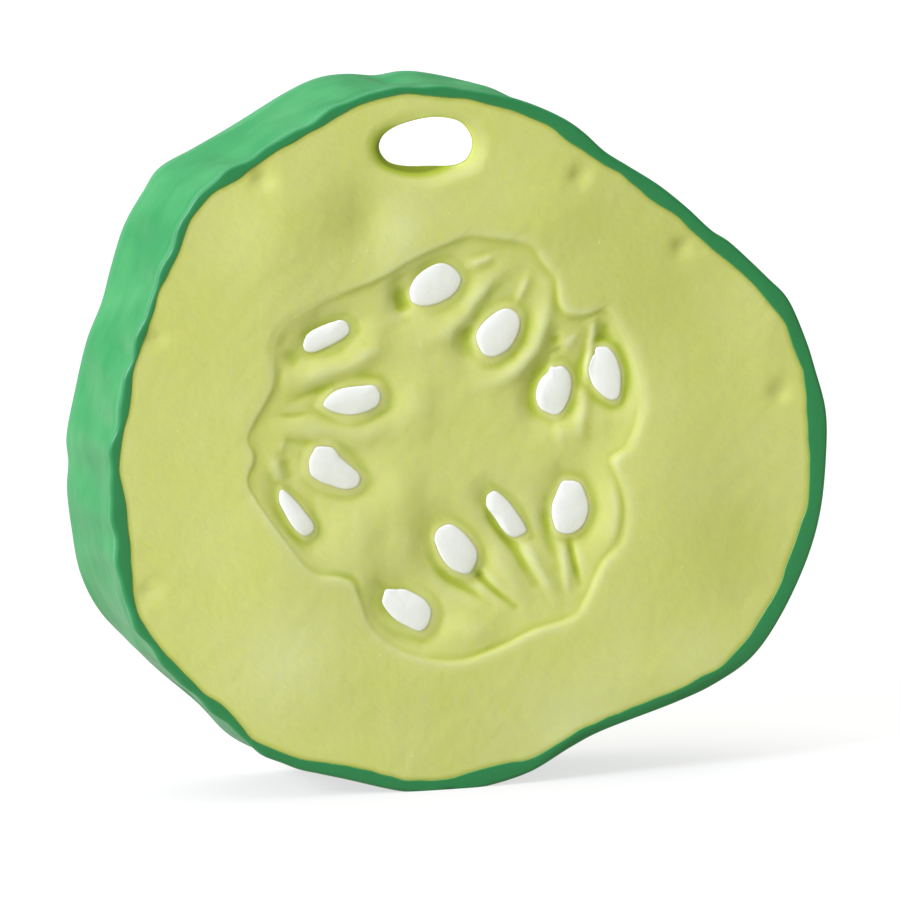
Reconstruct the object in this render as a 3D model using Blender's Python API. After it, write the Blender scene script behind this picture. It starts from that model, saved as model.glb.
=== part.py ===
"""Cucumber slice teether: one solid of moulded rubber that stands on its rim.

Frame: metres, +X to the right, +Z up, the front face looks along -Y, and the origin is at the bottom
centre. Sizes below are in millimetres and are scaled by MM where the mesh is made.

The body is a slice between a front and a back outline. Each face carries a lobed seed cavity with ribs,
seeds and a few small dents, and a slot runs through the slice near its top.
"""
import bpy
import bmesh
import numpy as np

MM = 0.001

# Driving dimensions, in millimetres.
THICKNESS = 19.0
HALF = THICKNESS / 2
HUB = (-3.6, 43.0)          # the middle of the seed cavity, where the polar grid has its pole
EDGE_RADIUS = 1.0           # rounding where the faces turn into the rind wall
RIM_WIDTH = 1.4             # ring of rind on each face, inside the rounding
WALL_SWELL = 0.25           # how far the rind wall hollows between its two rims
CAVITY_DEPTH = 0.9          # drop from the face to the cavity floor
CAVITY_STEP = 0.8           # width of the slope round the cavity
SEED_RISE = 1.2             # seeds above the cavity floor
SEED_SINK = 1.2             # seeds below the cavity floor, sunk in the body
POCKET_DEPTH = 0.35         # soft hollow round each seed
POCKET_REACH = (0.65, 0.75)  # its half length and half width, as shares of the seed's

# The polar grid: its directions, and where its rings lie between the pole and the outline.
SPOKES = 96
FLOOR_SHARES = (0.2, 0.36, 0.5, 0.62, 0.73, 0.83, 0.92, 1.0)
FACE_SHARES = (0.25, 0.5, 0.72, 0.88, 1.0)
WALL_SHARES = (0.3, 0.5, 0.7)
EDGE_TURNS = np.radians((30.0, 60.0, 90.0))

# Closed outlines as (x, z), anticlockwise seen from the front.
FRONT_OUTLINE = (
    (47.6, 39.9), (47.5, 45.7), (46.0, 51.1), (44.6, 55.2), (42.3, 60.1), (39.5, 63.0), (34.5, 67.6),
    (31.8, 69.4), (28.5, 72.4), (24.7, 75.4), (20.7, 77.9), (17.5, 79.9), (14.7, 82.4), (12.1, 84.2),
    (8.3, 86.0), (4.7, 87.2), (-0.3, 88.3), (-5.3, 89.0), (-10.8, 88.9), (-15.8, 87.8), (-20.3, 85.6),
    (-27.8, 81.7), (-32.1, 79.3), (-35.5, 76.9), (-37.6, 73.9), (-39.7, 69.6), (-41.6, 64.9),
    (-43.5, 59.9), (-45.2, 54.9), (-46.2, 49.9), (-47.3, 44.5), (-47.3, 39.4), (-46.8, 33.4),
    (-45.5, 26.2), (-42.7, 20.8), (-38.8, 16.1), (-34.3, 11.9), (-30.5, 8.4), (-27.3, 5.7),
    (-22.8, 3.8), (-16.3, 2.0), (-9.3, 0.1), (-3.3, -0.5), (1.7, 0.0), (7.7, 1.5), (13.3, 4.4),
    (17.7, 6.3), (27.2, 9.2), (32.8, 11.4), (37.8, 14.6), (41.7, 19.8), (45.1, 26.7), (46.9, 32.9),
)
BACK_OUTLINE = (
    (46.7, 41.0), (46.3, 47.0), (44.4, 53.6), (41.4, 60.0), (37.8, 64.0), (33.0, 68.2), (28.4, 71.6),
    (23.9, 75.2), (18.4, 78.7), (13.9, 82.6), (8.9, 86.1), (4.4, 87.6), (-0.6, 88.7), (-3.6, 88.9),
    (-6.8, 88.5), (-10.6, 88.8), (-14.4, 88.4), (-18.6, 86.7), (-25.6, 82.8), (-30.6, 80.2),
    (-35.1, 77.9), (-37.2, 75.1), (-39.8, 70.8), (-41.5, 65.8), (-42.8, 61.2), (-44.8, 56.4),
    (-46.4, 50.0), (-47.5, 44.6), (-47.3, 41.2), (-47.5, 37.8), (-47.0, 33.2), (-45.9, 27.2),
    (-43.4, 22.1), (-39.2, 17.5), (-35.6, 13.9), (-30.6, 9.5), (-27.0, 5.6), (-23.6, 3.4),
    (-18.6, 1.3), (-12.6, -0.1), (-3.6, -0.4), (4.4, -0.2), (10.4, 2.2), (15.4, 5.2), (21.4, 7.2),
    (28.4, 9.6), (34.4, 12.6), (39.0, 16.8), (42.6, 22.4), (45.4, 29.0), (46.5, 35.0),
)
CAVITY_OUTLINE = (
    (22.3, 47.5), (21.8, 52.5), (19.9, 56.8), (18.1, 59.8), (14.4, 59.3), (11.8, 60.5), (10.9, 64.2),
    (7.8, 68.5), (4.4, 69.4), (0.4, 70.1), (-4.6, 68.7), (-10.1, 66.6), (-14.1, 64.6), (-19.6, 62.8),
    (-24.8, 60.4), (-26.5, 56.8), (-26.0, 53.2), (-27.6, 49.4), (-29.6, 46.0), (-28.8, 43.2),
    (-29.5, 40.6), (-26.6, 35.1), (-23.0, 30.5), (-20.1, 28.2), (-16.0, 27.4), (-14.5, 24.0),
    (-12.4, 20.1), (-8.1, 17.3), (-3.1, 16.2), (1.9, 17.0), (6.9, 19.2), (12.9, 20.8), (15.0, 23.0),
    (16.6, 26.9), (19.5, 30.0), (20.3, 34.0), (19.6, 38.0), (18.6, 41.0), (21.0, 43.3),
)

# The slot: its narrow neck lies NECK_DEPTH behind the front face, and it opens towards the back.
SLOT_NECK = (
    (0.6, 81.5), (0.0, 83.3), (-1.7, 84.6), (-5.1, 85.0), (-9.0, 84.5), (-11.3, 83.2), (-12.0, 81.4),
    (-10.9, 79.7), (-8.6, 79.0), (-5.1, 78.9), (-1.8, 78.9), (0.0, 79.8),
)
SLOT_CENTRE = (-5.7, 81.8)
SLOT_BACK_SHIFT = (2.9, -1.7)       # the back mouth's centre from the neck's
SLOT_BACK_SCALE = (1.52, 1.5)       # the back mouth's size over the neck's
NECK_DEPTH = 2.0
SLOT_STEPS = 2                      # points to a span of the neck
# How far the slot's mouths flare past its tunnel, as (depth behind the front face, flare).
SLOT_FLARE = (
    (-1.5, 4.6), (0.0, 2.3), (0.4, 1.35), (1.0, 0.55), (NECK_DEPTH, 0.0),
    (THICKNESS - 1.0, 0.0), (THICKNESS, 0.9), (THICKNESS + 1.5, 3.2),
)

# Seeds as (x, z, length, width, tilt in degrees from +X), each an egg of SEED_SIDES by SEED_RINGS.
SEED_SIDES = 14
SEED_RINGS = 8
SEEDS = (
    (-4.7, 64.1, 7.2, 5.0, 28.0),
    (3.5, 57.7, 7.0, 4.8, 54.0),
    (-19.0, 58.2, 6.9, 2.8, 25.0),
    (-15.8, 50.0, 7.6, 3.7, 6.0),
    (-18.2, 41.7, 7.8, 4.3, -38.0),
    (-23.1, 36.3, 7.2, 2.6, -54.0),
    (-8.5, 23.2, 7.6, 4.5, -38.0),
    (-2.0, 30.4, 7.4, 4.6, -52.0),
    (4.7, 34.6, 7.6, 2.9, -50.0),
    (13.1, 35.1, 6.8, 4.8, 88.0),
    (11.0, 49.9, 6.2, 4.6, 78.0),
    (17.7, 51.9, 7.0, 4.1, 106.0),
)

# Ribs of the cavity floor as (x0, z0, x1, z1, width, height).
RIBS = (
    (-1.8, 60.4, 5.7, 67.4, 2.6, 0.55),
    (8.5, 61.9, 6.9, 52.4, 2.6, 0.60),
    (14.2, 48.9, 15.7, 58.4, 2.0, 0.45),
    (-24.3, 54.1, -13.3, 56.2, 2.4, 0.50),
    (-24.8, 47.9, -12.3, 46.1, 2.4, 0.40),
    (-17.8, 32.4, -12.3, 38.4, 4.0, 0.40),
    (0.2, 26.9, 6.2, 21.4, 1.8, 0.50),
    (4.7, 30.9, 9.2, 22.4, 1.8, 0.55),
    (9.7, 31.4, 12.5, 24.4, 2.0, 0.50),
    (17.2, 30.9, 18.2, 39.9, 2.6, 0.35),
)

# Dents in the faces as (x, z, radius, depth).
DENTS = (
    (-27.6, 78.3, 1.7, 0.55),
    (14.0, 77.0, 1.7, 0.45),
    (27.7, 67.4, 1.7, 0.45),
    (41.2, 48.4, 1.7, 0.40),
    (-42.8, 27.4, 1.6, 0.35),
    (36.0, 22.2, 1.8, 0.35),
)

RUBBER_COLOUR = (0.558, 0.597, 0.175, 1.0)
RUBBER_ROUGHNESS = 0.5
SHARP_ANGLE = np.radians(35.0)


def clear_scene():
    """Remove the objects of the start-up scene."""
    for item in list(bpy.data.objects):
        bpy.data.objects.remove(item, do_unlink=True)


def rubber():
    """The moulded rubber, as one Principled material."""
    material = bpy.data.materials.new("flesh_rubber")
    material.use_nodes = True
    shader = material.node_tree.nodes["Principled BSDF"]
    shader.inputs["Base Color"].default_value = RUBBER_COLOUR
    shader.inputs["Roughness"].default_value = RUBBER_ROUGHNESS
    shader.inputs["Metallic"].default_value = 0.0
    return material


def closed_curve(points, steps=12):
    """Points of a smooth closed curve (Catmull-Rom) through the given ones, `steps` to a span."""
    knots = np.array(points, dtype=float)
    before, after, beyond = (np.roll(knots, -shift, axis=0) for shift in (-1, 1, 2))
    t = (np.arange(steps) / steps)[None, :, None]
    a, b, c, d = (k[:, None, :] for k in (before, knots, after, beyond))
    curve = 0.5 * (2 * b + (c - a) * t + (2 * a - 5 * b + 4 * c - d) * t**2
                   + (3 * b - a - 3 * c + d) * t**3)
    return curve.reshape(-1, 2)


def polar_radius(points, angles):
    """Distance from HUB to the smooth outline through `points`, in each direction."""
    curve = closed_curve(points) - np.array(HUB)
    directions = np.arctan2(curve[:, 1], curve[:, 0])
    order = np.argsort(directions)
    distance = np.hypot(curve[:, 0], curve[:, 1])
    return np.interp(angles, directions[order], distance[order], period=2 * np.pi)


def along_segment(x, z, x0, z0, x1, z1):
    """Squared distance from (x, z) to a segment."""
    length_squared = (x1 - x0) ** 2 + (z1 - z0) ** 2
    t = np.clip(((x - x0) * (x1 - x0) + (z - z0) * (z1 - z0)) / length_squared, 0.0, 1.0)
    return (x - x0 - t * (x1 - x0)) ** 2 + (z - z0 - t * (z1 - z0)) ** 2


def cavity_relief(x, z):
    """Height of the cavity floor over its plain level: ribs up, a soft pocket round each seed down."""
    height = np.zeros_like(x)
    for x0, z0, x1, z1, width, rise in RIBS:
        height += rise * np.exp(-along_segment(x, z, x0, z0, x1, z1) / (0.5 * width) ** 2)
    for seed_x, seed_z, length, width, tilt in SEEDS:
        turn = np.radians(tilt)
        u = (x - seed_x) * np.cos(turn) + (z - seed_z) * np.sin(turn)
        v = (z - seed_z) * np.cos(turn) - (x - seed_x) * np.sin(turn)
        reach = (u / (POCKET_REACH[0] * length)) ** 2 + (v / (POCKET_REACH[1] * width)) ** 2
        height -= POCKET_DEPTH * np.exp(-reach**2)
    return height


def dent_relief(x, z):
    """Depth of the small dents in a face."""
    depth = np.zeros_like(x)
    for dent_x, dent_z, radius, drop in DENTS:
        depth += drop * np.exp(-((x - dent_x) ** 2 + (z - dent_z) ** 2) / radius**2)
    return depth


def face_rings(outline_radius, angles):
    """The rings of one face, from the pole outwards, as (radius, height) pairs over the face plane."""
    cavity = polar_radius(CAVITY_OUTLINE, angles)
    floor_edge = cavity - CAVITY_STEP
    rings = []
    for share in FLOOR_SHARES:
        radius = floor_edge * share
        x = HUB[0] + radius * np.cos(angles)
        z = HUB[1] + radius * np.sin(angles)
        fade = 1.0 - share**6
        rings.append((radius, cavity_relief(x, z) * fade - CAVITY_DEPTH))
    rings.append((cavity, np.zeros_like(cavity)))
    rim = outline_radius - EDGE_RADIUS
    for share in FACE_SHARES:
        radius = cavity + (rim - RIM_WIDTH - cavity) * share
        x = HUB[0] + radius * np.cos(angles)
        z = HUB[1] + radius * np.sin(angles)
        rings.append((radius, -dent_relief(x, z)))
    rings.append((rim, np.zeros_like(rim)))
    return rings


def body_mesh():
    """The slice without its seeds and slot: front face, rind wall and back face on one polar grid."""
    angles = np.linspace(0.0, 2 * np.pi, SPOKES, endpoint=False)
    front = polar_radius(FRONT_OUTLINE, angles)
    back = polar_radius(BACK_OUTLINE, angles)
    rings = [(radius, -HALF - height) for radius, height in face_rings(front, angles)]
    rings += [(front - EDGE_RADIUS * (1 - np.sin(turn)), -HALF + EDGE_RADIUS * (1 - np.cos(turn)))
              for turn in EDGE_TURNS]
    for share in WALL_SHARES:
        middle = front * (1 - share) + back * share - WALL_SWELL * np.sin(np.pi * share)
        rings.append((middle, -HALF + THICKNESS * share))
    rings += [(back - EDGE_RADIUS * (1 - np.sin(turn)), HALF - EDGE_RADIUS * (1 - np.cos(turn)))
              for turn in EDGE_TURNS[::-1]]
    rings += [(radius, HALF + height) for radius, height in reversed(face_rings(back, angles))]

    radius = np.array([ring[0] for ring in rings])
    depth = np.array([np.broadcast_to(ring[1], angles.shape) for ring in rings])
    x = HUB[0] + radius * np.cos(angles)
    z = np.maximum(HUB[1] + radius * np.sin(angles), 0.0)
    points = np.stack([x, depth, z], axis=-1)
    hub_height = cavity_relief(np.array([HUB[0]]), np.array([HUB[1]]))[0] - CAVITY_DEPTH

    mesh = bmesh.new()
    grid = [[mesh.verts.new(point * MM) for point in ring] for ring in points]
    poles = [mesh.verts.new((HUB[0] * MM, side * (HALF + hub_height) * MM, HUB[1] * MM))
             for side in (-1, 1)]
    for index in range(SPOKES):
        following = (index + 1) % SPOKES
        mesh.faces.new((poles[0], grid[0][index], grid[0][following]))
        mesh.faces.new((poles[1], grid[-1][following], grid[-1][index]))
        for inner, outer in zip(grid, grid[1:]):
            mesh.faces.new((inner[index], outer[index], outer[following], inner[following]))
    bmesh.ops.recalc_face_normals(mesh, faces=mesh.faces)
    return mesh


def seed_mesh(seed, side):
    """One seed as a closed egg, widest at the cavity floor and sunk in it. side is -1 front, 1 back."""
    seed_x, seed_z, length, width, tilt = seed
    turn = np.radians(tilt)
    mesh = bmesh.new()
    bmesh.ops.create_uvsphere(mesh, u_segments=SEED_SIDES, v_segments=SEED_RINGS, radius=1.0)
    for vert in mesh.verts:
        u, v, w = vert.co
        along = 0.5 * length * u
        across = 0.5 * width * v
        height = w * (SEED_RISE if w > 0 else SEED_SINK)
        vert.co = (
            (seed_x + along * np.cos(turn) - across * np.sin(turn)) * MM,
            side * (HALF - CAVITY_DEPTH + height) * MM,
            (seed_z + along * np.sin(turn) + across * np.cos(turn)) * MM,
        )
    bmesh.ops.recalc_face_normals(mesh, faces=mesh.faces)
    return mesh


def slot_mesh():
    """The cutter of the slot: a closed tube of rings, flared at both faces and wider at the back."""
    curve = closed_curve(SLOT_NECK, steps=SLOT_STEPS)
    centre = np.array(SLOT_CENTRE)
    offset = curve - centre
    outward = offset / np.hypot(offset[:, 0], offset[:, 1])[:, None]
    rings = []
    for depth, flare in SLOT_FLARE:
        share = np.clip((depth - NECK_DEPTH) / (THICKNESS - NECK_DEPTH), 0.0, 1.0)
        scale = 1.0 + (np.array(SLOT_BACK_SCALE) - 1.0) * share
        ring = centre + np.array(SLOT_BACK_SHIFT) * share + offset * scale + outward * flare
        rings.append([(x, depth - HALF, z) for x, z in ring])
    mesh = bmesh.new()
    grid = [[mesh.verts.new(np.array(point) * MM) for point in ring] for ring in rings]
    count = len(curve)
    for lower, upper in zip(grid, grid[1:]):
        for index in range(count):
            following = (index + 1) % count
            mesh.faces.new((lower[index], lower[following], upper[following], upper[index]))
    mesh.faces.new(grid[0])
    mesh.faces.new(grid[-1])
    bmesh.ops.recalc_face_normals(mesh, faces=mesh.faces)
    return mesh


def add_object(name, mesh, collection):
    """Put a bmesh into a collection as an object."""
    data = bpy.data.meshes.new(name)
    mesh.to_mesh(data)
    mesh.free()
    item = bpy.data.objects.new(name, data)
    collection.objects.link(item)
    return item


def boolean(target, operation, cutters):
    """Apply a Boolean of every object in a collection to the target, then remove the collection."""
    modifier = target.modifiers.new("boolean", "BOOLEAN")
    modifier.operation = operation
    modifier.solver = "EXACT"
    modifier.operand_type = "COLLECTION"
    modifier.collection = cutters
    evaluated = target.evaluated_get(bpy.context.evaluated_depsgraph_get())
    result = bpy.data.meshes.new_from_object(evaluated)
    target.modifiers.clear()
    target.data = result
    for item in list(cutters.objects):
        bpy.data.objects.remove(item, do_unlink=True)
    bpy.data.collections.remove(cutters)


def group(name, meshes):
    """A collection with one object for each bmesh."""
    collection = bpy.data.collections.new(name)
    bpy.context.scene.collection.children.link(collection)
    for mesh in meshes:
        add_object(name, mesh, collection)
    return collection


def build_slice():
    """The one node: body, seeds of both faces and the slot."""
    body = add_object("slice", body_mesh(), bpy.context.scene.collection)
    seeds = [seed_mesh(seed, side) for side in (-1, 1) for seed in SEEDS]
    boolean(body, "UNION", group("seeds", seeds))
    boolean(body, "DIFFERENCE", group("slot", [slot_mesh()]))
    body.data.materials.clear()
    body.data.materials.append(rubber())
    body.data.shade_smooth()
    body.data.set_sharp_from_angle(angle=SHARP_ANGLE)


clear_scene()
build_slice()
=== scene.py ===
"""Looks of the cucumber slice teether: moulded flesh, painted rind and painted seeds, in a plain studio.

Shapes are worked out in millimetres, in the part's own frame (+X right, +Z up, the front face looks
along -Y), and are scaled by MM where a mesh is made.
"""
from __future__ import annotations

import logging
from dataclasses import dataclass, field
from enum import Enum

import bmesh
import bpy
import numpy as np
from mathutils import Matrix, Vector

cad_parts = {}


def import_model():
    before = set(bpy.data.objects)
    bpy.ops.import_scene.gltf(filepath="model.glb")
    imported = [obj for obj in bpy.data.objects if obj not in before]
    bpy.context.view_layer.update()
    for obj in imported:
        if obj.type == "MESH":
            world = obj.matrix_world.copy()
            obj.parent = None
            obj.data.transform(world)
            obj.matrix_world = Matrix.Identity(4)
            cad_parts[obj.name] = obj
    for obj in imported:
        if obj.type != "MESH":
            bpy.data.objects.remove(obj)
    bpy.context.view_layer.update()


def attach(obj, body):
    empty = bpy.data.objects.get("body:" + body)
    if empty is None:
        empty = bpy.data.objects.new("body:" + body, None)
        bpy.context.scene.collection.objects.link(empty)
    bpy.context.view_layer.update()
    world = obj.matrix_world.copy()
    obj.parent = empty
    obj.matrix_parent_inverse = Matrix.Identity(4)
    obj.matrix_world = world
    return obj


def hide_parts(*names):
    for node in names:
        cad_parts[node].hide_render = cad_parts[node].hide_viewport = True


LOG = logging.getLogger("cucumber_slice")
MM = 0.001
Array = np.ndarray
Socket = bpy.types.NodeSocket
Material = bpy.types.Material
Pair = tuple[float, float]
Triple = tuple[float, float, float]
Points = tuple[Pair, ...]
Waves = tuple[Triple, ...]
Colour = Triple
Swing = Triple

THICKNESS = 19.0
HALF = THICKNESS / 2
HUB = (-3.6, 43.0)
BODY = "root"
NODE = "slice"

FRONT_EDGE: Points = (
    (47.6, 39.9), (47.5, 45.7), (46.0, 51.1), (44.6, 55.2), (42.3, 60.1), (39.5, 63.0), (34.5, 67.6),
    (31.8, 69.4), (28.5, 72.4), (24.7, 75.4), (20.7, 77.9), (17.5, 79.9), (14.7, 82.4), (12.1, 84.2),
    (8.3, 86.0), (4.7, 87.2), (-0.3, 88.3), (-5.3, 89.0), (-10.8, 88.9), (-15.8, 87.8), (-20.3, 85.6),
    (-27.8, 81.7), (-32.1, 79.3), (-35.5, 76.9), (-37.6, 73.9), (-39.7, 69.6), (-41.6, 64.9),
    (-43.5, 59.9), (-45.2, 54.9), (-46.2, 49.9), (-47.3, 44.5), (-47.3, 39.4), (-46.8, 33.4),
    (-45.5, 26.2), (-42.7, 20.8), (-38.8, 16.1), (-34.3, 11.9), (-30.5, 8.4), (-27.3, 5.7),
    (-22.8, 3.8), (-16.3, 2.0), (-9.3, 0.1), (-3.3, -0.5), (1.7, 0.0), (7.7, 1.5), (13.3, 4.4),
    (17.7, 6.3), (27.2, 9.2), (32.8, 11.4), (37.8, 14.6), (41.7, 19.8), (45.1, 26.7), (46.9, 32.9),
)
BACK_EDGE: Points = (
    (46.7, 41.0), (46.3, 47.0), (44.4, 53.6), (41.4, 60.0), (37.8, 64.0), (33.0, 68.2), (28.4, 71.6),
    (23.9, 75.2), (18.4, 78.7), (13.9, 82.6), (8.9, 86.1), (4.4, 87.6), (-0.6, 88.7), (-3.6, 88.9),
    (-6.8, 88.5), (-10.6, 88.8), (-14.4, 88.4), (-18.6, 86.7), (-25.6, 82.8), (-30.6, 80.2),
    (-35.1, 77.9), (-37.2, 75.1), (-39.8, 70.8), (-41.5, 65.8), (-42.8, 61.2), (-44.8, 56.4),
    (-46.4, 50.0), (-47.5, 44.6), (-47.3, 41.2), (-47.5, 37.8), (-47.0, 33.2), (-45.9, 27.2),
    (-43.4, 22.1), (-39.2, 17.5), (-35.6, 13.9), (-30.6, 9.5), (-27.0, 5.6), (-23.6, 3.4),
    (-18.6, 1.3), (-12.6, -0.1), (-3.6, -0.4), (4.4, -0.2), (10.4, 2.2), (15.4, 5.2), (21.4, 7.2),
    (28.4, 9.6), (34.4, 12.6), (39.0, 16.8), (42.6, 22.4), (45.4, 29.0), (46.5, 35.0),
)
# Where the rind paint stops on the front face, a slightly shaky hand-painted line.
PAINT_LINE: Points = (
    (45.2, 39.0), (45.0, 42.0), (44.4, 49.9), (43.6, 52.2), (42.4, 55.3), (41.4, 57.6), (39.4, 60.0),
    (36.9, 62.8), (34.4, 65.0), (31.9, 67.0), (29.9, 68.7), (26.4, 71.9), (24.4, 73.0), (21.9, 75.0),
    (19.4, 77.1), (16.9, 78.5), (14.4, 80.2), (12.2, 81.6), (10.1, 83.3), (7.4, 84.6), (4.4, 85.7),
    (-0.6, 87.1), (-5.6, 87.7), (-8.3, 88.1), (-10.6, 87.9), (-13.6, 87.3), (-16.2, 86.4),
    (-18.6, 85.1), (-22.6, 83.1), (-25.6, 81.6), (-29.1, 79.5), (-30.8, 78.2), (-33.8, 76.8),
    (-35.6, 75.0), (-37.0, 73.2), (-38.2, 70.0), (-39.8, 66.8), (-40.9, 65.0), (-41.9, 61.6),
    (-43.2, 58.0), (-44.2, 55.6), (-44.8, 50.5), (-45.6, 47.6), (-46.2, 43.3), (-45.7, 40.5),
    (-45.2, 37.0), (-44.8, 32.5), (-44.3, 26.2), (-42.9, 23.0), (-40.6, 19.8), (-37.6, 16.6),
    (-35.6, 14.4), (-33.4, 12.9), (-30.6, 9.9), (-29.1, 8.0), (-25.6, 6.3), (-22.6, 5.1),
    (-19.1, 4.4), (-15.6, 3.6), (-12.6, 2.7), (-9.1, 1.6), (-5.6, 1.35), (-3.2, 1.35), (-0.6, 2.0),
    (4.4, 2.9), (6.9, 3.1), (9.4, 4.0), (13.4, 6.2), (16.4, 7.4), (22.4, 9.4), (27.9, 11.2),
    (30.4, 12.4), (33.1, 13.5), (35.4, 15.5), (37.9, 18.3), (41.2, 23.5), (42.2, 26.2), (44.2, 31.5),
    (45.0, 34.0),
)
# The line round the seed cavity.
CAVITY_LINE: Points = (
    (22.3, 47), (22.1, 51.2), (20.8, 55.1), (19.0, 58.2), (17.4, 60), (15.1, 59.3), (12.8, 59.5),
    (11.5, 61), (11.1, 64), (9.3, 66.4), (7.7, 68.5), (3.8, 69.4), (-0.2, 69.95), (-4.2, 68.8),
    (-8.2, 67.2), (-12.5, 65), (-18.2, 63.1), (-24.2, 60.2), (-26.4, 57.4), (-25.9, 53), (-28.8, 47.7),
    (-29.5, 45.8), (-28.7, 43.4), (-29.6, 41), (-28.8, 38.6), (-24.7, 32.7), (-21.2, 28.6),
    (-17.7, 27.8), (-15.9, 27.1), (-15.0, 25.0), (-13.2, 20.9), (-8.7, 17.6), (-2.2, 16.2), (3.8, 17.7),
    (7.8, 19.4), (13.3, 20.9), (15.3, 23.3), (17.3, 27.6), (19.6, 30.2), (20.3, 34), (19.6, 38),
    (18.4, 40.9), (20.8, 42.7),
)
SLOT_NECK: Points = (
    (0.0, 81.6), (-0.6, 83.3), (-2.2, 84.6), (-5.5, 85.1), (-9.2, 84.4), (-11.5, 83.2), (-12.2, 81.5),
    (-11.1, 79.8), (-8.9, 79.1), (-5.5, 78.95), (-2.3, 78.95), (-0.6, 79.8),
)
SLOT_CENTRE = (-6.1, 81.8)


class Side(Enum):
    """The two faces of the slice, with the sign of the way each looks along Y."""

    FRONT = -1.0
    BACK = 1.0


def smooth_step(value: Array) -> Array:
    """Rise from 0 to 1 with flat ends as `value` goes from 0 to 1 (3 t squared less 2 t cubed)."""
    t = np.clip(value, 0.0, 1.0)
    return t * t * (3.0 - 2.0 * t)


def swing(direction: Array, parts: Swing) -> Array:
    """A size that varies round a line: a mean, plus a swing by the cosine from a direction."""
    mean, most, towards = parts
    return mean + most * np.cos(direction - towards)


def ripple(direction: Array, waves: Waves) -> Array:
    """The sum of sine waves round a line, each as (lobes, turn, height)."""
    return sum(height * np.sin(lobes * direction + turn) for lobes, turn, height in waves)


@dataclass(frozen=True)
class ClosedLine:
    """A smooth closed line through points, seen from a centre that it runs round once.

    Args:
        points: the line's points as (x, z), anticlockwise.
        centre: the place from which distances are taken.
    """

    points: Points
    centre: Pair = HUB
    steps: int = 14

    def curve(self) -> Array:
        """Points of the Catmull-Rom curve through the given ones, `steps` to a span."""
        knots = np.array(self.points, dtype=float)
        before, after, beyond = (np.roll(knots, shift, axis=0) for shift in (1, -1, -2))
        t = (np.arange(self.steps) / self.steps)[None, :, None]
        a, b, c, d = (k[:, None, :] for k in (before, knots, after, beyond))
        curve = 0.5 * (2 * b + (c - a) * t + (2 * a - 5 * b + 4 * c - d) * t**2
                       + (3 * b - a - 3 * c + d) * t**3)
        return curve.reshape(-1, 2)

    def reach(self, direction: Array) -> Array:
        """Distance from the centre to the line in each direction.

        Args:
            direction: angles from +X towards +Z, in radians.

        Returns:
            The distances in millimetres, read along the curve between its points.
        """
        curve = self.curve() - np.array(self.centre)
        angle = np.arctan2(curve[:, 1], curve[:, 0])
        order = np.argsort(angle)
        distance = np.hypot(curve[:, 0], curve[:, 1])
        return np.interp(direction, angle[order], distance[order], period=2 * np.pi)

    def soft_reach(self, direction: Array, span: float = 0.09) -> Array:
        """The distance to the line averaged over directions nearby, which smooths its corners away."""
        turns = np.linspace(-span, span, 7)
        return sum(self.reach(direction + turn) for turn in turns) / turns.size

    def lean(self, direction: Array, span: float = 0.02) -> Array:
        """Cosine between each direction and the line's normal, which turns radial gaps to true ones."""
        change = (self.reach(direction + span) - self.reach(direction - span)) / (2 * span)
        return 1.0 / np.sqrt(1.0 + (change / self.reach(direction)) ** 2)

    def polar(self, x: Array, z: Array) -> tuple[Array, Array]:
        """Direction and distance of places from the centre."""
        off_x, off_z = x - self.centre[0], z - self.centre[1]
        return np.arctan2(off_z, off_x), np.hypot(off_x, off_z)


# The gain on every fold's height, and the share of it that a fold keeps at its ends.
FOLD_GAIN = 1.2
FOLD_END = 0.35


@dataclass(frozen=True)
class Fold:
    """A ridge or a crease: a Gaussian bank along a route, fading out at its ends.

    Args:
        route: points as (x, z).
        width: the bank's half width, where it has fallen to 37 percent.
        height: the bank's height, negative for a crease.
        ends: the share of the route over which each end fades.
    """

    route: Points
    width: float
    height: float
    ends: Pair = (0.3, 0.3)

    def lift(self, x: Array, z: Array) -> Array:
        """Height of the bank at each place, a Gaussian of the distance to the route."""
        knots = np.array(self.route, dtype=float)
        lengths = np.hypot(*np.diff(knots, axis=0).T)
        starts = np.concatenate([[0.0], np.cumsum(lengths)])
        nearest = np.full(x.shape, np.inf)
        along = np.zeros(x.shape)
        for (x0, z0), (x1, z1), length, start in zip(knots, knots[1:], lengths, starts):
            t = np.clip(((x - x0) * (x1 - x0) + (z - z0) * (z1 - z0)) / length**2, 0.0, 1.0)
            gap = (x - x0 - t * (x1 - x0)) ** 2 + (z - z0 - t * (z1 - z0)) ** 2
            closer = gap < nearest
            nearest = np.where(closer, gap, nearest)
            along = np.where(closer, start + t * length, along)
        share = along / starts[-1]
        rise, fall = (FOLD_END + (1.0 - FOLD_END) * smooth_step(reach / end)
                      for reach, end in zip((share, 1.0 - share), self.ends))
        return FOLD_GAIN * self.height * rise * fall * np.exp(-nearest / self.width**2)


@dataclass(frozen=True)
class Swell:
    """A broad rise or dip of a face: a Gaussian hump of two half widths."""

    x: float
    z: float
    width_x: float
    width_z: float
    height: float

    def lift(self, x: Array, z: Array) -> Array:
        """Height of the hump at each place."""
        away = ((x - self.x) / self.width_x) ** 2 + ((z - self.z) / self.width_z) ** 2
        return self.height * np.exp(-away)


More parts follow.
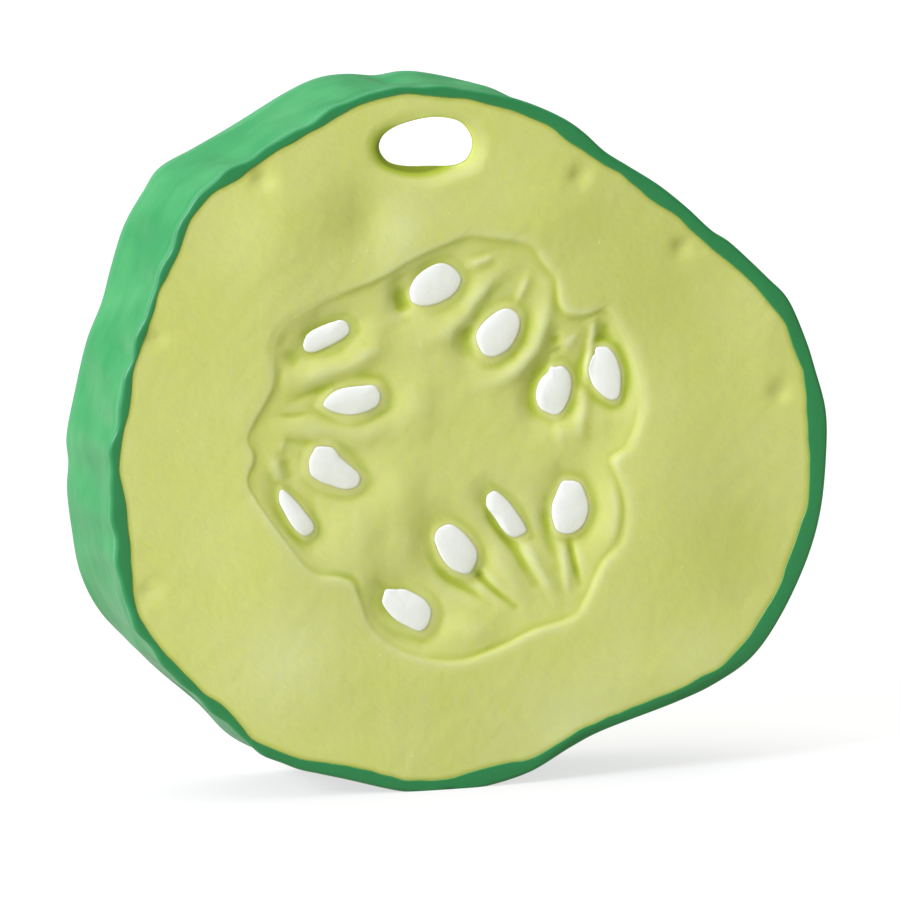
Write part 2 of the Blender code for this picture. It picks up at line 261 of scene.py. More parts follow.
@dataclass(frozen=True)
class Seed:
    """One seed: a low dome in a soft bowl of the cavity floor, painted on top.

    Args:
        outline: where its paint ends, as (x, z), anticlockwise.
        bowl: depth of the bowl that it lies in.
        run: how far the bowl reaches beyond the paint, where it is down to 37 percent.
        rise: height of the dome over its rim.
        rim: height of the rim over the bowl, and how much higher it is on the side that it leans to.
        skirt: width of the slope from the rim to the bowl.
        shelf: width of the bowl's flat round the seed; below 0, its slope starts inside the paint.
        lean_to: direction of the side that the seed leans to.
        arch: the part of an ellipse that the dome is, from 0 for a flat one to 1 for a half ellipse.
        clear: how far beyond the paint folds keep away, and the width over which they come in.
    """

    outline: Points
    bowl: float = 0.3
    run: float = 2.0
    rise: float = 0.2
    rim: Pair = (0.15, 0.08)
    skirt: float = 1.2
    shelf: float = 0.3
    lean_to: float = -0.56
    arch: float = 0.8
    clear: Pair = (0.7, 1.6)

    def line(self) -> ClosedLine:
        """The paint's outline, round the seed's middle."""
        middle = tuple(np.mean(np.array(self.outline), axis=0))
        return ClosedLine(self.outline, middle)

    def cover(self, x: Array, z: Array) -> Array:
        """Share of the seed in each place: 1 inside, 0 from just beyond the paint."""
        line = self.line()
        direction, distance = line.polar(x, z)
        beyond, width = self.clear
        return smooth_step((line.reach(direction) + beyond - distance) / width)

    def lift(self, x: Array, z: Array) -> Array:
        """Height of dome, skirt and bowl.

        Args:
            x, z: places on the face.

        Returns:
            The height over the plain floor: the dome is part of an ellipse over the paint, the skirt a
            smooth step beyond it, the bowl a Gaussian of the distance beyond the paint.
        """
        line = self.line()
        direction, distance = line.polar(x, z)
        reach = line.reach(direction)
        share = np.clip(distance / reach, 0.0, 1.0)
        beyond = np.maximum(distance - reach, 0.0)
        low = np.sqrt(1.0 - self.arch)
        dome = self.rise * (np.sqrt(1.0 - self.arch * share**2) - low) / (1.0 - low)
        rim = self.rim[0] + self.rim[1] * np.cos(direction - self.lean_to) * share
        bowl = self.bowl * np.exp(-((np.maximum(beyond - self.shelf, 0.0) / self.run) ** 2))
        return dome + rim * (1.0 - smooth_step(beyond / self.skirt)) - bowl


# The seeds, from the top anticlockwise round the cavity.
SEEDS: tuple[Seed, ...] = (
    Seed(((-1.4, 64.3), (-1.7, 65.3), (-2.8, 66.3), (-4.2, 66.7), (-5.8, 66.2), (-7.4, 65.0),
          (-8.1, 63.6), (-8.0, 62.4), (-7.4, 61.7), (-6.0, 61.4), (-4.0, 61.8), (-2.3, 62.8)),
         0.28, 1.9, 0.2, (0.08, 0.1), 1.2, -0.4),
    Seed(((6.35, 58.8), (6.0, 59.9), (4.9, 60.6), (3.8, 60.5), (2.5, 59.8), (1.2, 58.6), (0.6, 57.2),
          (1.3, 55.3), (2.4, 54.65), (3.6, 54.8), (5.0, 55.7), (6.0, 57.3)),
         0.16, 1.8, 0.2, (0.18, 0.07), 1.3, 0.6),
    Seed(((-16.0, 58.7), (-16.3, 59.7), (-17.2, 60.15), (-18.0, 60.0), (-20.0, 59.4), (-21.5, 58.6),
          (-22.1, 57.3), (-21.8, 56.5), (-21.0, 56.2), (-20.0, 56.4), (-18.0, 57.2), (-16.6, 58.0)),
         0.4, 1.7, 0.2, (0.08, 0.1), 1.2, -0.3),
    Seed(((-12.1, 50.2), (-12.3, 51.0), (-13.0, 51.75), (-14.5, 51.8), (-17.0, 51.6), (-18.5, 51.0),
          (-19.6, 49.8), (-19.2, 49.2), (-18.0, 48.6), (-16.0, 48.2), (-14.0, 48.5), (-12.5, 49.2)),
         0.2, 2.2, 0.2, (0.26, 0.06), 1.6, 0.6),
    Seed(((-14.8, 40.3), (-15.2, 41.0), (-16.2, 41.9), (-17.4, 43.0), (-18.3, 44.1), (-19.5, 44.4),
          (-20.5, 44.4), (-21.0, 43.8), (-21.5, 42.7), (-21.3, 41.0), (-20.0, 40.0), (-18.5, 39.4),
          (-17.0, 38.9), (-15.8, 38.95), (-15.0, 39.4)),
         0.2, 2.6, 0.2, (0.2, 0.02), 1.5, 0.6),
    Seed(((-20.9, 34.2), (-21.1, 35.0), (-22.0, 36.2), (-23.0, 37.5), (-24.2, 38.7), (-25.2, 39.3),
          (-25.45, 38.0), (-25.1, 37.0), (-24.0, 35.0), (-23.0, 33.8), (-22.1, 33.3), (-21.3, 33.6)),
         0.32, 2.2, 0.2, (0.13, 0.06), 1.1),
    Seed(((-5.35, 22.7), (-5.9, 23.9), (-7.0, 24.8), (-8.7, 25.7), (-10.0, 25.8), (-11.3, 25.85),
          (-11.6, 25.1), (-11.8, 24.3), (-11.3, 23.3), (-10.0, 21.9), (-8.5, 21.0), (-7.3, 20.4),
          (-6.5, 20.4), (-5.7, 21.2)), 0.38, 2.2, 0.2, (0.14, 0.16), 1.7, -0.2),
    Seed(((0.8, 29.2), (0.6, 30.4), (-0.3, 31.7), (-1.5, 32.9), (-2.8, 33.65), (-4.3, 33.2),
          (-4.9, 32.0), (-4.6, 31.0), (-4.0, 29.6), (-2.8, 28.1), (-1.2, 27.3), (-0.2, 27.3),
          (0.4, 28.1)), 0.32, 2.2, 0.19, (0.14, 0.03), 1.1, 0.7),
    Seed(((7.4, 32.2), (7.2, 32.9), (6.2, 34.5), (5.0, 36.1), (3.8, 37.2), (3.0, 37.55), (2.2, 37.1),
          (2.0, 36.2), (2.2, 35.4), (3.0, 34.4), (4.0, 32.9), (5.0, 31.8), (5.9, 31.5), (6.8, 31.8)),
         0.36, 2.0, 0.2, (0.08, 0.04), 1.0, 0.0),
    Seed(((15.55, 35.0), (15.2, 36.5), (14.6, 37.8), (13.8, 38.25), (12.8, 38.4), (12.0, 38.2),
          (11.2, 36.6), (10.75, 35.2), (10.8, 33.8), (11.3, 32.3), (12.2, 31.7), (13.3, 31.6),
          (14.5, 32.2), (15.3, 33.5)), 0.32, 2.0, 0.2, (0.14, 0.05), 1.0, 0.3),
    Seed(((13.3, 50.8), (13.1, 51.9), (12.4, 52.8), (11.8, 53.0), (11.0, 52.9), (10.5, 53.0),
          (10.2, 52.3), (9.2, 51.3), (8.65, 49.8), (8.8, 48.4), (9.5, 47.5), (10.8, 46.9), (11.6, 47.0),
          (12.2, 47.5), (13.0, 49.0)), 0.3, 2.0, 0.2, (0.14, 0.05), 1.0, 0.3),
    Seed(((19.75, 51.0), (19.6, 52.5), (18.9, 54.2), (18.0, 55.1), (17.0, 55.25), (16.4, 55.1),
          (16.3, 54.4), (15.9, 53.9), (15.5, 52.6), (15.7, 51.3), (16.4, 50.0), (17.7, 48.8),
          (18.6, 48.4), (19.3, 48.6), (19.65, 49.3)), 0.28, 1.6, 0.2, (0.24, 0.02), 1.1, 0.4),
)

# Ridges and creases of the cavity floor, group by group round the seeds.
FOLDS: tuple[Fold, ...] = (
    Fold(((-24.0, 52.9), (-20.0, 53.3), (-16.2, 54.2), (-13.0, 56.3), (-12.3, 58.8)), 1.4, 0.27),
    Fold(((-24.6, 57.4), (-23.6, 55.6), (-22.4, 54.6)), 1.2, -0.2, (0.5, 0.4)),
    Fold(((-24.2, 50.2), (-21.5, 51.2), (-18.5, 52.0)), 0.6, -0.1),
    Fold(((-25.0, 46.7), (-20.0, 46.4), (-14.5, 46.0), (-10.0, 47.0)), 1.8, 0.28),
    Fold(((-25.5, 48.7), (-23.5, 48.5), (-21.5, 48.6)), 0.45, -0.09),
    Fold(((-25.5, 45.6), (-22.5, 45.2), (-19.0, 44.6)), 0.65, -0.09),
    Fold(((-26.2, 43.4), (-25.7, 41.6), (-25.3, 40.0)), 0.75, 0.13),
    Fold(((-24.8, 43.4), (-24.2, 41.5), (-23.8, 40.2)), 0.9, -0.12),
    Fold(((-25.3, 45.0), (-24.8, 44.8)), 0.7, 0.1),
    Fold(((-9.9, 65.2), (-9.5, 62.6), (-8.6, 60.2)), 1.35, -0.5, (0.6, 0.3)),
    Fold(((-6.5, 57.0), (-3.2, 57.9), (-0.9, 59.6), (0.7, 62.0), (2.4, 64.3), (4.0, 65.8)), 1.3, 0.24),
    Fold(((-0.2, 58.0), (1.1, 61.0), (3.0, 63.2), (5.0, 64.4)), 0.75, -0.08),
    Fold(((-0.6, 59.4), (-0.9, 56.8), (-0.9, 53.4)), 1.6, -0.27, (0.3, 0.4)),
    Fold(((-0.5, 66.3), (1.3, 66.8), (2.9, 67.3)), 0.5, 0.15),
    Fold(((5.9, 61.4), (6.8, 63.2), (7.4, 64.6)), 0.5, 0.13),
    Fold(((9.7, 63.5), (9.7, 60.5), (9.3, 57.8), (8.4, 55.4), (6.6, 53.3), (4.4, 51.9), (1.5, 51.2)),
         1.2, 0.27),
    Fold(((10.4, 56.4), (9.3, 53.6), (8.4, 51.0), (8.0, 48.5), (8.3, 45.2)), 1.5, -0.24, (0.6, 0.3)),
    Fold(((12.6, 55.3), (13.2, 56.4), (14.0, 57.1)), 0.7, 0.11),
    Fold(((11.0, 57.3), (11.2, 55.6), (11.7, 54.4)), 0.8, -0.14),
    Fold(((15.8, 58.8), (16.0, 56.8), (15.5, 54.0), (15.2, 51.0)), 0.55, 0.25),
    Fold(((17.5, 58.6), (17.7, 57.2), (17.7, 55.6)), 0.9, -0.15),
    Fold(((14.7, 51.0), (14.7, 48.5), (14.6, 45.0)), 0.9, 0.2),
    Fold(((10.2, 44.6), (12.8, 44.9), (15.4, 45.4)), 2.2, 0.24),
    Fold(((-5.3, 29.5), (-4.4, 27.9), (-2.8, 26.4), (0.0, 24.9), (2.4, 23.4)), 0.8, -0.18),
    Fold(((0.8, 27.4), (1.6, 26.4), (2.8, 25.2), (4.2, 24.0), (5.6, 22.8)), 0.65, -0.26, (0.1, 0.6)),
    Fold(((1.6, 27.2), (3.2, 25.5), (5.4, 23.9)), 0.6, 0.05),
    Fold(((2.3, 36.5), (3.0, 34.0), (4.6, 31.6), (5.9, 29.8), (7.0, 27.8), (8.2, 25.8)),
         0.85, -0.27, (0.25, 0.3)),
    Fold(((1.9, 31.0), (3.9, 28.0), (5.5, 25.7), (6.9, 23.7)), 1.0, 0.12),
    Fold(((7.0, 31.2), (7.9, 29.2), (9.2, 26.9), (10.4, 24.9), (11.1, 23.5)), 0.8, 0.17),
    Fold(((9.9, 36.0), (9.9, 33.5), (10.1, 31.4), (10.9, 29.4), (11.5, 27.8)), 0.9, -0.2),
    Fold(((12.2, 29.8), (12.4, 27.2), (12.7, 25.0), (13.0, 23.8)), 0.6, 0.13),
    Fold(((13.0, 31.0), (13.5, 28.8), (14.0, 26.8), (14.4, 25.4)), 0.5, -0.22),
    Fold(((18.6, 29.0), (19.8, 34.5), (19.3, 39.0)), 2.8, 0.26),
)

# Broad, gentle rises and dips of the cavity floor, of the faces, then the small moulding dents.
FLOOR_SWELLS: tuple[Swell, ...] = (
    Swell(-14.5, 33.0, 3.4, 5.0, 0.46),
    Swell(-9.5, 37.5, 2.8, 4.5, 0.34),
    Swell(-9.2, 31.0, 2.0, 3.0, 0.2),
    Swell(-7.3, 48.5, 2.4, 3.4, 0.32),
    Swell(0.3, 20.0, 3.0, 2.2, 0.34),
)
SWELLS: tuple[Swell, ...] = (
    Swell(-13.8, 72.5, 3.8, 4.8, -0.48),
    Swell(-25.5, 71.0, 5.5, 7.0, 0.54),
    Swell(11.0, 73.0, 6.0, 5.0, 0.3),
    Swell(21.0, 64.0, 6.0, 6.0, 0.2),
    Swell(25.0, 40.0, 8.5, 14.0, 0.54),
    Swell(39.0, 56.0, 4.0, 6.0, 0.16),
    Swell(-24.5, 31.0, 8.5, 15.0, 0.54),
    Swell(-19.0, 16.0, 7.0, 5.0, 0.28),
    Swell(27.0, 12.0, 12.0, 4.5, 0.32),
    Swell(15.0, 3.0, 5.0, 4.0, 0.4),
    Swell(-9.0, 13.0, 7.0, 4.0, 0.15),
)
DENTS: tuple[Swell, ...] = (
    Swell(-27.6, 78.3, 1.25, 1.25, -0.5),
    Swell(14.0, 77.0, 1.25, 1.25, -0.42),
    Swell(27.7, 67.4, 1.25, 1.25, -0.4),
    Swell(41.2, 48.4, 1.25, 1.25, -0.4),
    Swell(-42.6, 27.4, 1.2, 1.2, -0.3),
    Swell(36.0, 22.2, 1.6, 1.6, -0.1),
    Swell(-41.3, 59.0, 1.1, 1.1, -0.25),
)

# Painted shade (above 0) and painted light (below 0): patches where the rubber's colour is made duller or
# paler than its mean.
PAINTED_LIGHT_AND_SHADE: tuple[Swell, ...] = (
    Swell(20.0, 66.0, 14.0, 17.0, 0.62),
    Swell(35.0, 29.0, 6.0, 9.0, 0.55),
    Swell(-17.0, 73.0, 4.0, 5.0, 0.45),
    Swell(14.0, 8.0, 7.0, 6.0, -0.5),
    Swell(31.0, 15.0, 5.0, 5.0, -0.4),
    Swell(-25.0, 18.0, 6.0, 6.0, -0.7),
    Swell(-9.5, 71.0, 3.0, 5.0, -0.7),
)


@dataclass
class FaceRelief:
    """The moulded relief of a face, as heights over the face plane.

    Args:
        depth_soft: how far the face curls down towards the cavity line, and `curl` over what distance.
        depth_step: the crisp step at the line, as a swing, and `step_width` its width.
        wide_steps: stretches where the step is wider or narrower, as (direction, half width in radians,
            change of the width).
        depth_floor: the slow fall of the floor inside the line, and `floor_run` over what distance.
        fold_fade: the distance inside the line over which folds and seeds come in.
    """

    cavity: ClosedLine = field(default_factory=lambda: ClosedLine(CAVITY_LINE))
    depth_soft: float = 0.05
    depth_step: Swing = (0.178, 0.02, -0.3)
    depth_floor: float = 0.3
    curl: float = 0.8
    step_width: Swing = (0.9, 0.15, -0.3)
    wide_steps: Waves = ((2.45, 0.22, 1.6), (-0.4, 0.3, 0.5), (0.35, 0.25, 0.9), (3.45, 0.3, -0.3))
    floor_run: float = 2.4
    fold_fade: float = 1.4

    def recess(self, inside: Array, soft_inside: Array, direction: Array) -> Array:
        """Drop of the cavity: a soft curl outside the line, a crisp step on it, a slow fall inside.

        Args:
            inside: distance inside the cavity line, negative outside it.
            soft_inside: the same for the line with its corners smoothed.
            direction: direction from the hub, which widens the step over one stretch.

        Returns:
            The heights, from 0 far outside down to minus the three depths together.
        """
        outside = np.exp(-(np.minimum(inside, 0.0) / self.curl) ** 2)
        width = swing(direction, self.step_width)
        for middle, span, extra in self.wide_steps:
            turn = np.angle(np.exp(1j * (direction - middle)))
            width = width + extra * np.exp(-(turn / span) ** 2)
        step = swing(direction, self.depth_step) * smooth_step(inside / width + 0.5)
        floor = 1.0 - np.exp(-np.maximum(soft_inside, 0.0) / self.floor_run)
        return -self.depth_soft * outside - step - self.depth_floor * floor

    def height(self, x: Array, z: Array, dents: bool = True) -> Array:
        """Height over the face plane: recess, folds and seeds, swells and, if wanted, the dents."""
        direction, distance = self.cavity.polar(x, z)
        inside = (self.cavity.reach(direction) - distance) * self.cavity.lean(direction)
        level = self.recess(inside, self.cavity.soft_reach(direction) - distance, direction)
        level += sum(item.lift(x, z) for item in (SWELLS + DENTS if dents else SWELLS))
        floor = inside > 0.0
        if np.any(floor):
            fx, fz = x[floor], z[floor]
            relief = sum(fold.lift(fx, fz) for fold in FOLDS)
            relief *= 1.0 - sum(seed.cover(fx, fz) for seed in SEEDS)
            relief += sum(item.lift(fx, fz) for item in FLOOR_SWELLS + SEEDS)
            level[floor] += relief * smooth_step(inside[floor] / self.fold_fade)
        return level

    def hollow(self, x: Array, z: Array, spans: Pair = (0.6, 1.2)) -> Array:
        """How deep each place lies below its surroundings, in mm: positive in creases and bowls, where
        the finish paints shade, and negative on ridges, where it paints highlight.

        Args:
            x, z: places on the face.
            spans: radii of the two circles over which the surroundings are taken.

        Returns:
            The mean height of six places on each circle less the place's own height.
        """
        turns = np.radians(np.arange(0, 360, 60))
        around = [self.height(x + span * np.cos(turn), z + span * np.sin(turn), dents=False)
                  for span in spans for turn in turns]
        return sum(around) / len(around) - self.height(x, z, dents=False)


@dataclass
class RindShape:
    """The outer form: the two edges, their rounding and the slightly hollow, waved wall between them.

    Args:
        front, back: the two edges, and `paint` the front face's paint line.
        edge_radius: rounding where a face turns into the wall.
        hollow: how far the wall's middle lies inside the line between the edges, and `fullness` the power
            of the half wave that spreads it; a lower one is flatter.
        groove: depth of the faint groove behind each edge, and its place and half width.
        scallops: small waves of the front edge as (lobes round the slice, turn, height).
        scallop_swell: their share as a mean and a swing towards a direction, kept from 0 to 1.
        waves: the wall's slow waves as (lobes round the slice, turn, lean along the depth, height).
        back_band: mean width of the paint on the back face.
        back_wander: the waves of that width, as (lobes round the slice, turn, height).
        shake: height of the brush's shake on the front.
    """

    front: ClosedLine = field(default_factory=lambda: ClosedLine(FRONT_EDGE))
    back: ClosedLine = field(default_factory=lambda: ClosedLine(BACK_EDGE))
    paint: ClosedLine = field(default_factory=lambda: ClosedLine(PAINT_LINE))
    edge_radius: float = 0.5
    hollow: float = 0.3
    fullness: float = 0.7
    groove: Triple = (0.12, 1.25, 0.4)
    scallops: Waves = ((37.0, 0.4, 0.16), (59.0, 2.0, 0.1))
    scallop_swell: Swing = (0.1, 1.2, 2.88)
    waves: tuple[tuple[float, float, float, float], ...] = (
        (13.0, 0.4, 0.9, 0.22), (19.0, 2.1, -1.1, 0.2), (29.0, 4.0, 1.2, 0.14), (43.0, 1.1, -1.5, 0.06),
    )
    back_band: float = 1.75
    back_wander: Waves = ((5.0, 1.0, 0.2), (13.0, 0.0, 0.14), (31.0, 0.0, 0.08))
    shake: float = 0.05

    def paint_line(self, direction: Array, side: Side) -> Array:
        """Distance of a face's paint line from the hub.

        Args:
            direction: directions from the hub.
            side: the face.

        Returns:
            On the front its own line with the small shake of the brush, a fast wave that comes and goes.
            On the back the edge less a band that wanders between 1 and 2 mm.
        """
        if side is Side.BACK:
            return self.back.reach(direction) - self.back_band - ripple(direction, self.back_wander)
        shake = np.sin(61 * direction + 3.0 * np.sin(7 * direction)) * np.sin(5 * direction + 0.7)
        return self.paint.reach(direction) + self.shake * shake

    def edge(self, direction: Array, side: Side) -> Array:
        """Distance of a face's edge from the hub; the front's is slightly scalloped on the left."""
        if side is Side.BACK:
            return self.back.reach(direction)
        share = smooth_step(swing(direction, self.scallop_swell))
        return self.front.reach(direction) + share * ripple(direction, self.scallops)

    def wall(self, direction: Array, depth: float) -> Array:
        """Distance of the wall from the hub at a depth behind the front plane.

        Args:
            direction: directions from the hub.
            depth: depth behind the front face plane, from edge_radius to THICKNESS less edge_radius.

        Returns:
            The straight run between the edges, less the hollow, the grooves and the waves.
        """
        share = depth / THICKNESS
        middle = np.sin(np.pi * share) ** self.fullness
        run = self.edge(direction, Side.FRONT) * (1 - share) + self.edge(direction, Side.BACK) * share
        run = run - self.hollow * middle
        drop, place, width = self.groove
        for gap in (depth - place, THICKNESS - depth - place):
            run = run - drop * np.exp(-(gap / width) ** 2)
        for lobes, turn, lean, height in self.waves:
            run = run + height * middle * np.sin(lobes * direction + turn + lean * np.pi * share)
        return run

    def rounding(self, direction: Array, turn: float, side: Side) -> tuple[Array, float]:
        """A place on a rounded edge: a quarter circle from the face (turn 0) to the wall."""
        depth = self.edge_radius * (1 - np.cos(turn))
        reach = self.edge(direction, side) - self.edge_radius * (1 - np.sin(turn))
        drop = self.groove[0] * np.exp(-((self.edge_radius - self.groove[1]) / self.groove[2]) ** 2)
        reach = reach - drop * np.sin(turn) ** 2
        return reach, depth if side is Side.FRONT else THICKNESS - depth

    def rings(self, direction: Array, turns: Array, depths: Array) -> list[tuple[Array, float]]:
        """Rings from the front's rounding over the wall to the back's rounding.

        Args:
            direction: directions from the hub.
            turns: places on each rounding, in radians.
            depths: depths of the rings between them.

        Returns:
            The rings as (distances from the hub, depth behind the front plane).
        """
        front = [self.rounding(direction, turn, Side.FRONT) for turn in turns]
        wall = [(self.wall(direction, depth), depth) for depth in depths]
        return front + wall + [self.rounding(direction, turn, Side.BACK) for turn in turns[::-1]]


def place(direction: Array, reach: Array) -> tuple[Array, Array]:
    """The (x, z) of a place at a direction and distance from the hub."""
    return HUB[0] + reach * np.cos(direction), HUB[1] + reach * np.sin(direction)


def ring_at(direction: Array, reach: Array, y: Array | float) -> Array:
    """The (x, y, z) of places at directions and distances from the hub, at one y or a y each."""
    x, z = place(direction, reach)
    return np.stack([x, np.broadcast_to(y, x.shape), z], axis=-1)


def numbering(grid: Array, first: int = 0) -> Array:
    """Vertex numbers of a grid of points (rings, points to a ring, 3), counted ring by ring."""
    rings, columns = grid.shape[:2]
    return first + np.arange(rings * columns).reshape(rings, columns)


def ring_quads(number: Array) -> Array:
    """Corner numbers of the quads between closed rings.

    Args:
        number: vertex numbers, a row to each ring.

    Returns:
        An array of shape (rings - 1, points to a ring, 4).
    """
    following = np.roll(number, -1, axis=1)
    return np.stack([number[:-1], number[1:], following[1:], following[:-1]], axis=-1)


def fan(pole: int, ring: Array) -> Array:
    """Triangles from a pole to a closed ring of vertex numbers."""
    return np.stack([np.full(ring.size, pole), ring, np.roll(ring, -1)], axis=-1)


def into_scene(name: str, data: bpy.types.ID) -> bpy.types.Object:
    """Make an object of a mesh, light or camera, and put it into the scene."""
    made = bpy.data.objects.new(name, data)
    bpy.context.scene.collection.objects.link(made)
    return made


def keep_values(piece: bpy.types.Object, name: str, values: Array) -> None:
    """Keep a number for each vertex as an attribute that the piece's finish reads."""
    layer = piece.data.attributes.new(name, "FLOAT", "POINT")
    layer.data.foreach_set("value", values.astype(np.float32))


def make_piece(name: str, points: Array, faces: list[Array], finish: Material) -> bpy.types.Object:
    """Put a closed surface into the scene as a piece that rides on the slice and stands for its node.

    Args:
        name: the piece's name.
        points: its vertices in millimetres.
        faces: arrays of corner numbers, quads or triangles.
        finish: its material.

    Returns:
        The new object, at the origin, with its normals pointing out.
    """
    corners = [face for block in faces for face in block.reshape(-1, block.shape[-1]).tolist()]
    mesh = bpy.data.meshes.new(name)
    mesh.from_pydata((points * MM).tolist(), [], corners)
    shell = bmesh.new()
    shell.from_mesh(mesh)
    bmesh.ops.recalc_face_normals(shell, faces=shell.faces)
    shell.to_mesh(mesh)
    shell.free()
    mesh.shade_smooth()
    mesh.materials.append(finish)
    piece = into_scene(name, mesh)
    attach(piece, BODY)
    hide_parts(NODE)
    LOG.info("%s: %d vertices, %d faces", name, len(mesh.vertices), len(mesh.polygons))
    return piece


@dataclass
class SlotTunnel:
    """The slot: a rounded mouth in each face and a tunnel that widens towards the back.

    Args:
        neck: the narrowest section, just behind the front mouth.
        dish_width, dish_depth: the shallow dish round the front mouth, each as a mean, its growth to
            the right and its growth to the top.
        dish_painted_shadow, dish_painted_highlight: how hollow the dish counts to the finish at its foot,
        and how raised half-way out, in the same way: painted shadow, strongest at the lower left, and
        painted highlight.
        dish_power: the power of the share of its width with which the dish sinks.
        least_painted_shadow: the least of the painted shadow at the dish's foot, all round.
        lip: radius of the tight rounding from the dish into the tunnel, and `lip_start` the share of it
            where it takes over from the dish.
        lip_painted_shadow: how hollow the rounding counts, as painted shadow: a mean, and its growth with
            the dish's.
        back_lip: width and depth of the back mouth's rounding.
        back_shift, back_scale: where the tunnel ends and how much wider, against the neck.
        web_crowding: how far the rings between window and mouth crowd towards the mouth.
    """

    neck: ClosedLine = field(default_factory=lambda: ClosedLine(SLOT_NECK, SLOT_CENTRE))
    dish_width: Triple = (2.35, 0.0, -0.5)
    dish_depth: Triple = (0.43, -0.02, -0.4)
    dish_painted_shadow: Triple = (0.03, -0.37, -0.53)
    dish_painted_highlight: Triple = (0.01, 0.026, -0.024)
    dish_power: float = 1.6
    least_painted_shadow: float = 0.03
    lip: float = 0.16
    lip_start: float = 0.35
    lip_painted_shadow: Pair = (0.38, 0.5)
    back_lip: Pair = (1.3, 1.3)
    back_shift: Pair = (3.05, -1.7)
    back_scale: Pair = (1.52, 1.5)
    web_crowding: float = 1.5
    web_rings: int = 7
    dish_rings: int = 9
    lip_rings: int = 8
    tunnel_rings: int = 14

    @staticmethod
    def around(angle: Array, parts: Triple) -> Array:
        """A size round the slot from its mean, its growth to the right and its growth to the top."""
        mean, to_right, to_top = parts
        return mean + to_right * np.cos(angle) + to_top * np.sin(angle)

    def section(self, angle: Array, share: float, grow: Array | float) -> tuple[Array, Array]:
        """The slot's section: the neck, shifted and scaled by a share of the way back, and grown."""
        reach = self.neck.reach(angle)
        scale_x, scale_z = (1.0 + (scale - 1.0) * share for scale in self.back_scale)
        x = SLOT_CENTRE[0] + self.back_shift[0] * share + np.cos(angle) * (reach * scale_x + grow)
        z = SLOT_CENTRE[1] + self.back_shift[1] * share + np.sin(angle) * (reach * scale_z + grow)
        return x, z

    def rings(self, front_rim: Array, back_rim: Array, relief: FaceRelief) -> Array:
        """The rings of points between the two windows in the faces, windows left out.

        Args:
            front_rim, back_rim: the windows' corners as (count, 3) places, in matching order.
            relief: the face relief, which the web round each mouth follows.

        Returns:
            An array (rings, count, 3): web, dish, lip, tunnel, lip and web. A web ring lies a share of
            the way from window to mouth, a dish ring sinks with a power of its share of the width, and
            a lip ring lies on a quarter ellipse.
        """
        centre = np.array(SLOT_CENTRE)
        back_centre = centre + np.array(self.back_shift)
        start = np.unwrap(np.arctan2(front_rim[:, 2] - centre[1], front_rim[:, 0] - centre[0]))
        end = np.unwrap(np.arctan2(back_rim[:, 2] - back_centre[1], back_rim[:, 0] - back_centre[0]))
        end += 2 * np.pi * np.round((start[0] - end[0]) / (2 * np.pi))
        wide, deep = self.around(start, self.dish_width), self.around(start, self.dish_depth)
        shares = 1.0 - (1.0 - np.linspace(0, 1, self.web_rings + 2)[1:-1]) ** self.web_crowding
        made = self.web(front_rim, self.section(start, 0.0, wide), shares, Side.FRONT, relief)
        tip = self.lip_start * self.lip
        for share in np.linspace(0.0, 1.0, self.dish_rings):
            x, z = self.section(start, 0.0, wide + (self.lip - tip - wide) * share)
            level = relief.height(x, z) * (1 - share)
            made.append((x, -HALF - level + deep * share**self.dish_power, z))
        first_turn = np.arcsin(self.lip_start)
        for turn in np.linspace(first_turn, np.pi / 2, self.lip_rings)[1:]:
            x, z = self.section(start, 0.0, self.lip * (1 - np.sin(turn)))
            depth = deep + self.lip * (np.cos(first_turn) - np.cos(turn))
            made.append((x, -HALF + depth, z))
        neck_depth = deep + self.lip
        for share in np.linspace(0.0, 1.0, self.tunnel_rings + 2)[1:-1]:
            x, z = self.section(start + (end - start) * share, share, 0.0)
            made.append((x, neck_depth + (THICKNESS - self.back_lip[1] - neck_depth) * share - HALF, z))
        back_mouth = self.section(end, 1.0, self.back_lip[0])
        back_level = relief.height(*back_mouth)
        for turn in np.linspace(np.pi / 2, 0.0, self.lip_rings):
            x, z = self.section(end, 1.0, self.back_lip[0] * (1 - np.sin(turn)))
            rise = self.back_lip[1] * (1 - np.cos(turn))
            made.append((x, HALF + back_level * np.cos(turn) - rise, z))
        made += self.web(back_rim, back_mouth, shares[::-1], Side.BACK, relief)
        return np.array([np.stack(ring, axis=-1) for ring in made])

    @staticmethod
    def web(rim: Array, mouth: tuple[Array, Array], shares: Array, side: Side,
            relief: FaceRelief) -> list[tuple[Array, Array, Array]]:
        """Rings on a face, at shares of the way from the window's rim to the mouth, as (x, y, z)."""
        made = []
        for share in shares:
            x, z = (rim[:, axis] * (1 - share) + mouth[axis // 2] * share for axis in (0, 2))
            made.append((x, side.value * (HALF + relief.height(x, z)), z))
        return made

    def painted_shading(self, angle: Array) -> Array:
        """How hollow the rings of the dish and the front lip count to the finish, as painted shadow,
        negative where raised, as painted highlight.

        Args:
            angle: directions from the slot's centre, as (dish and lip rings, count).

        Returns:
            In the dish its foot's value times the cube of the share of the width, less a half wave for
            the bank; on the lip a value of its own.
        """
        shares = np.append(np.linspace(0.0, 1.0, self.dish_rings), np.ones(self.lip_rings - 1))[:, None]
        # Painted shadow round the front mouth, strongest at its lower left, less a painted highlight on
        # the bank.
        strength = self.around(angle, self.dish_painted_shadow)
        foot = np.maximum(strength, self.least_painted_shadow) * shares**3
        mean, growth = self.lip_painted_shadow
        foot[self.dish_rings:] = mean + growth * strength[self.dish_rings:]
        return foot - self.around(angle, self.dish_painted_highlight) * np.sin(np.pi * shares)


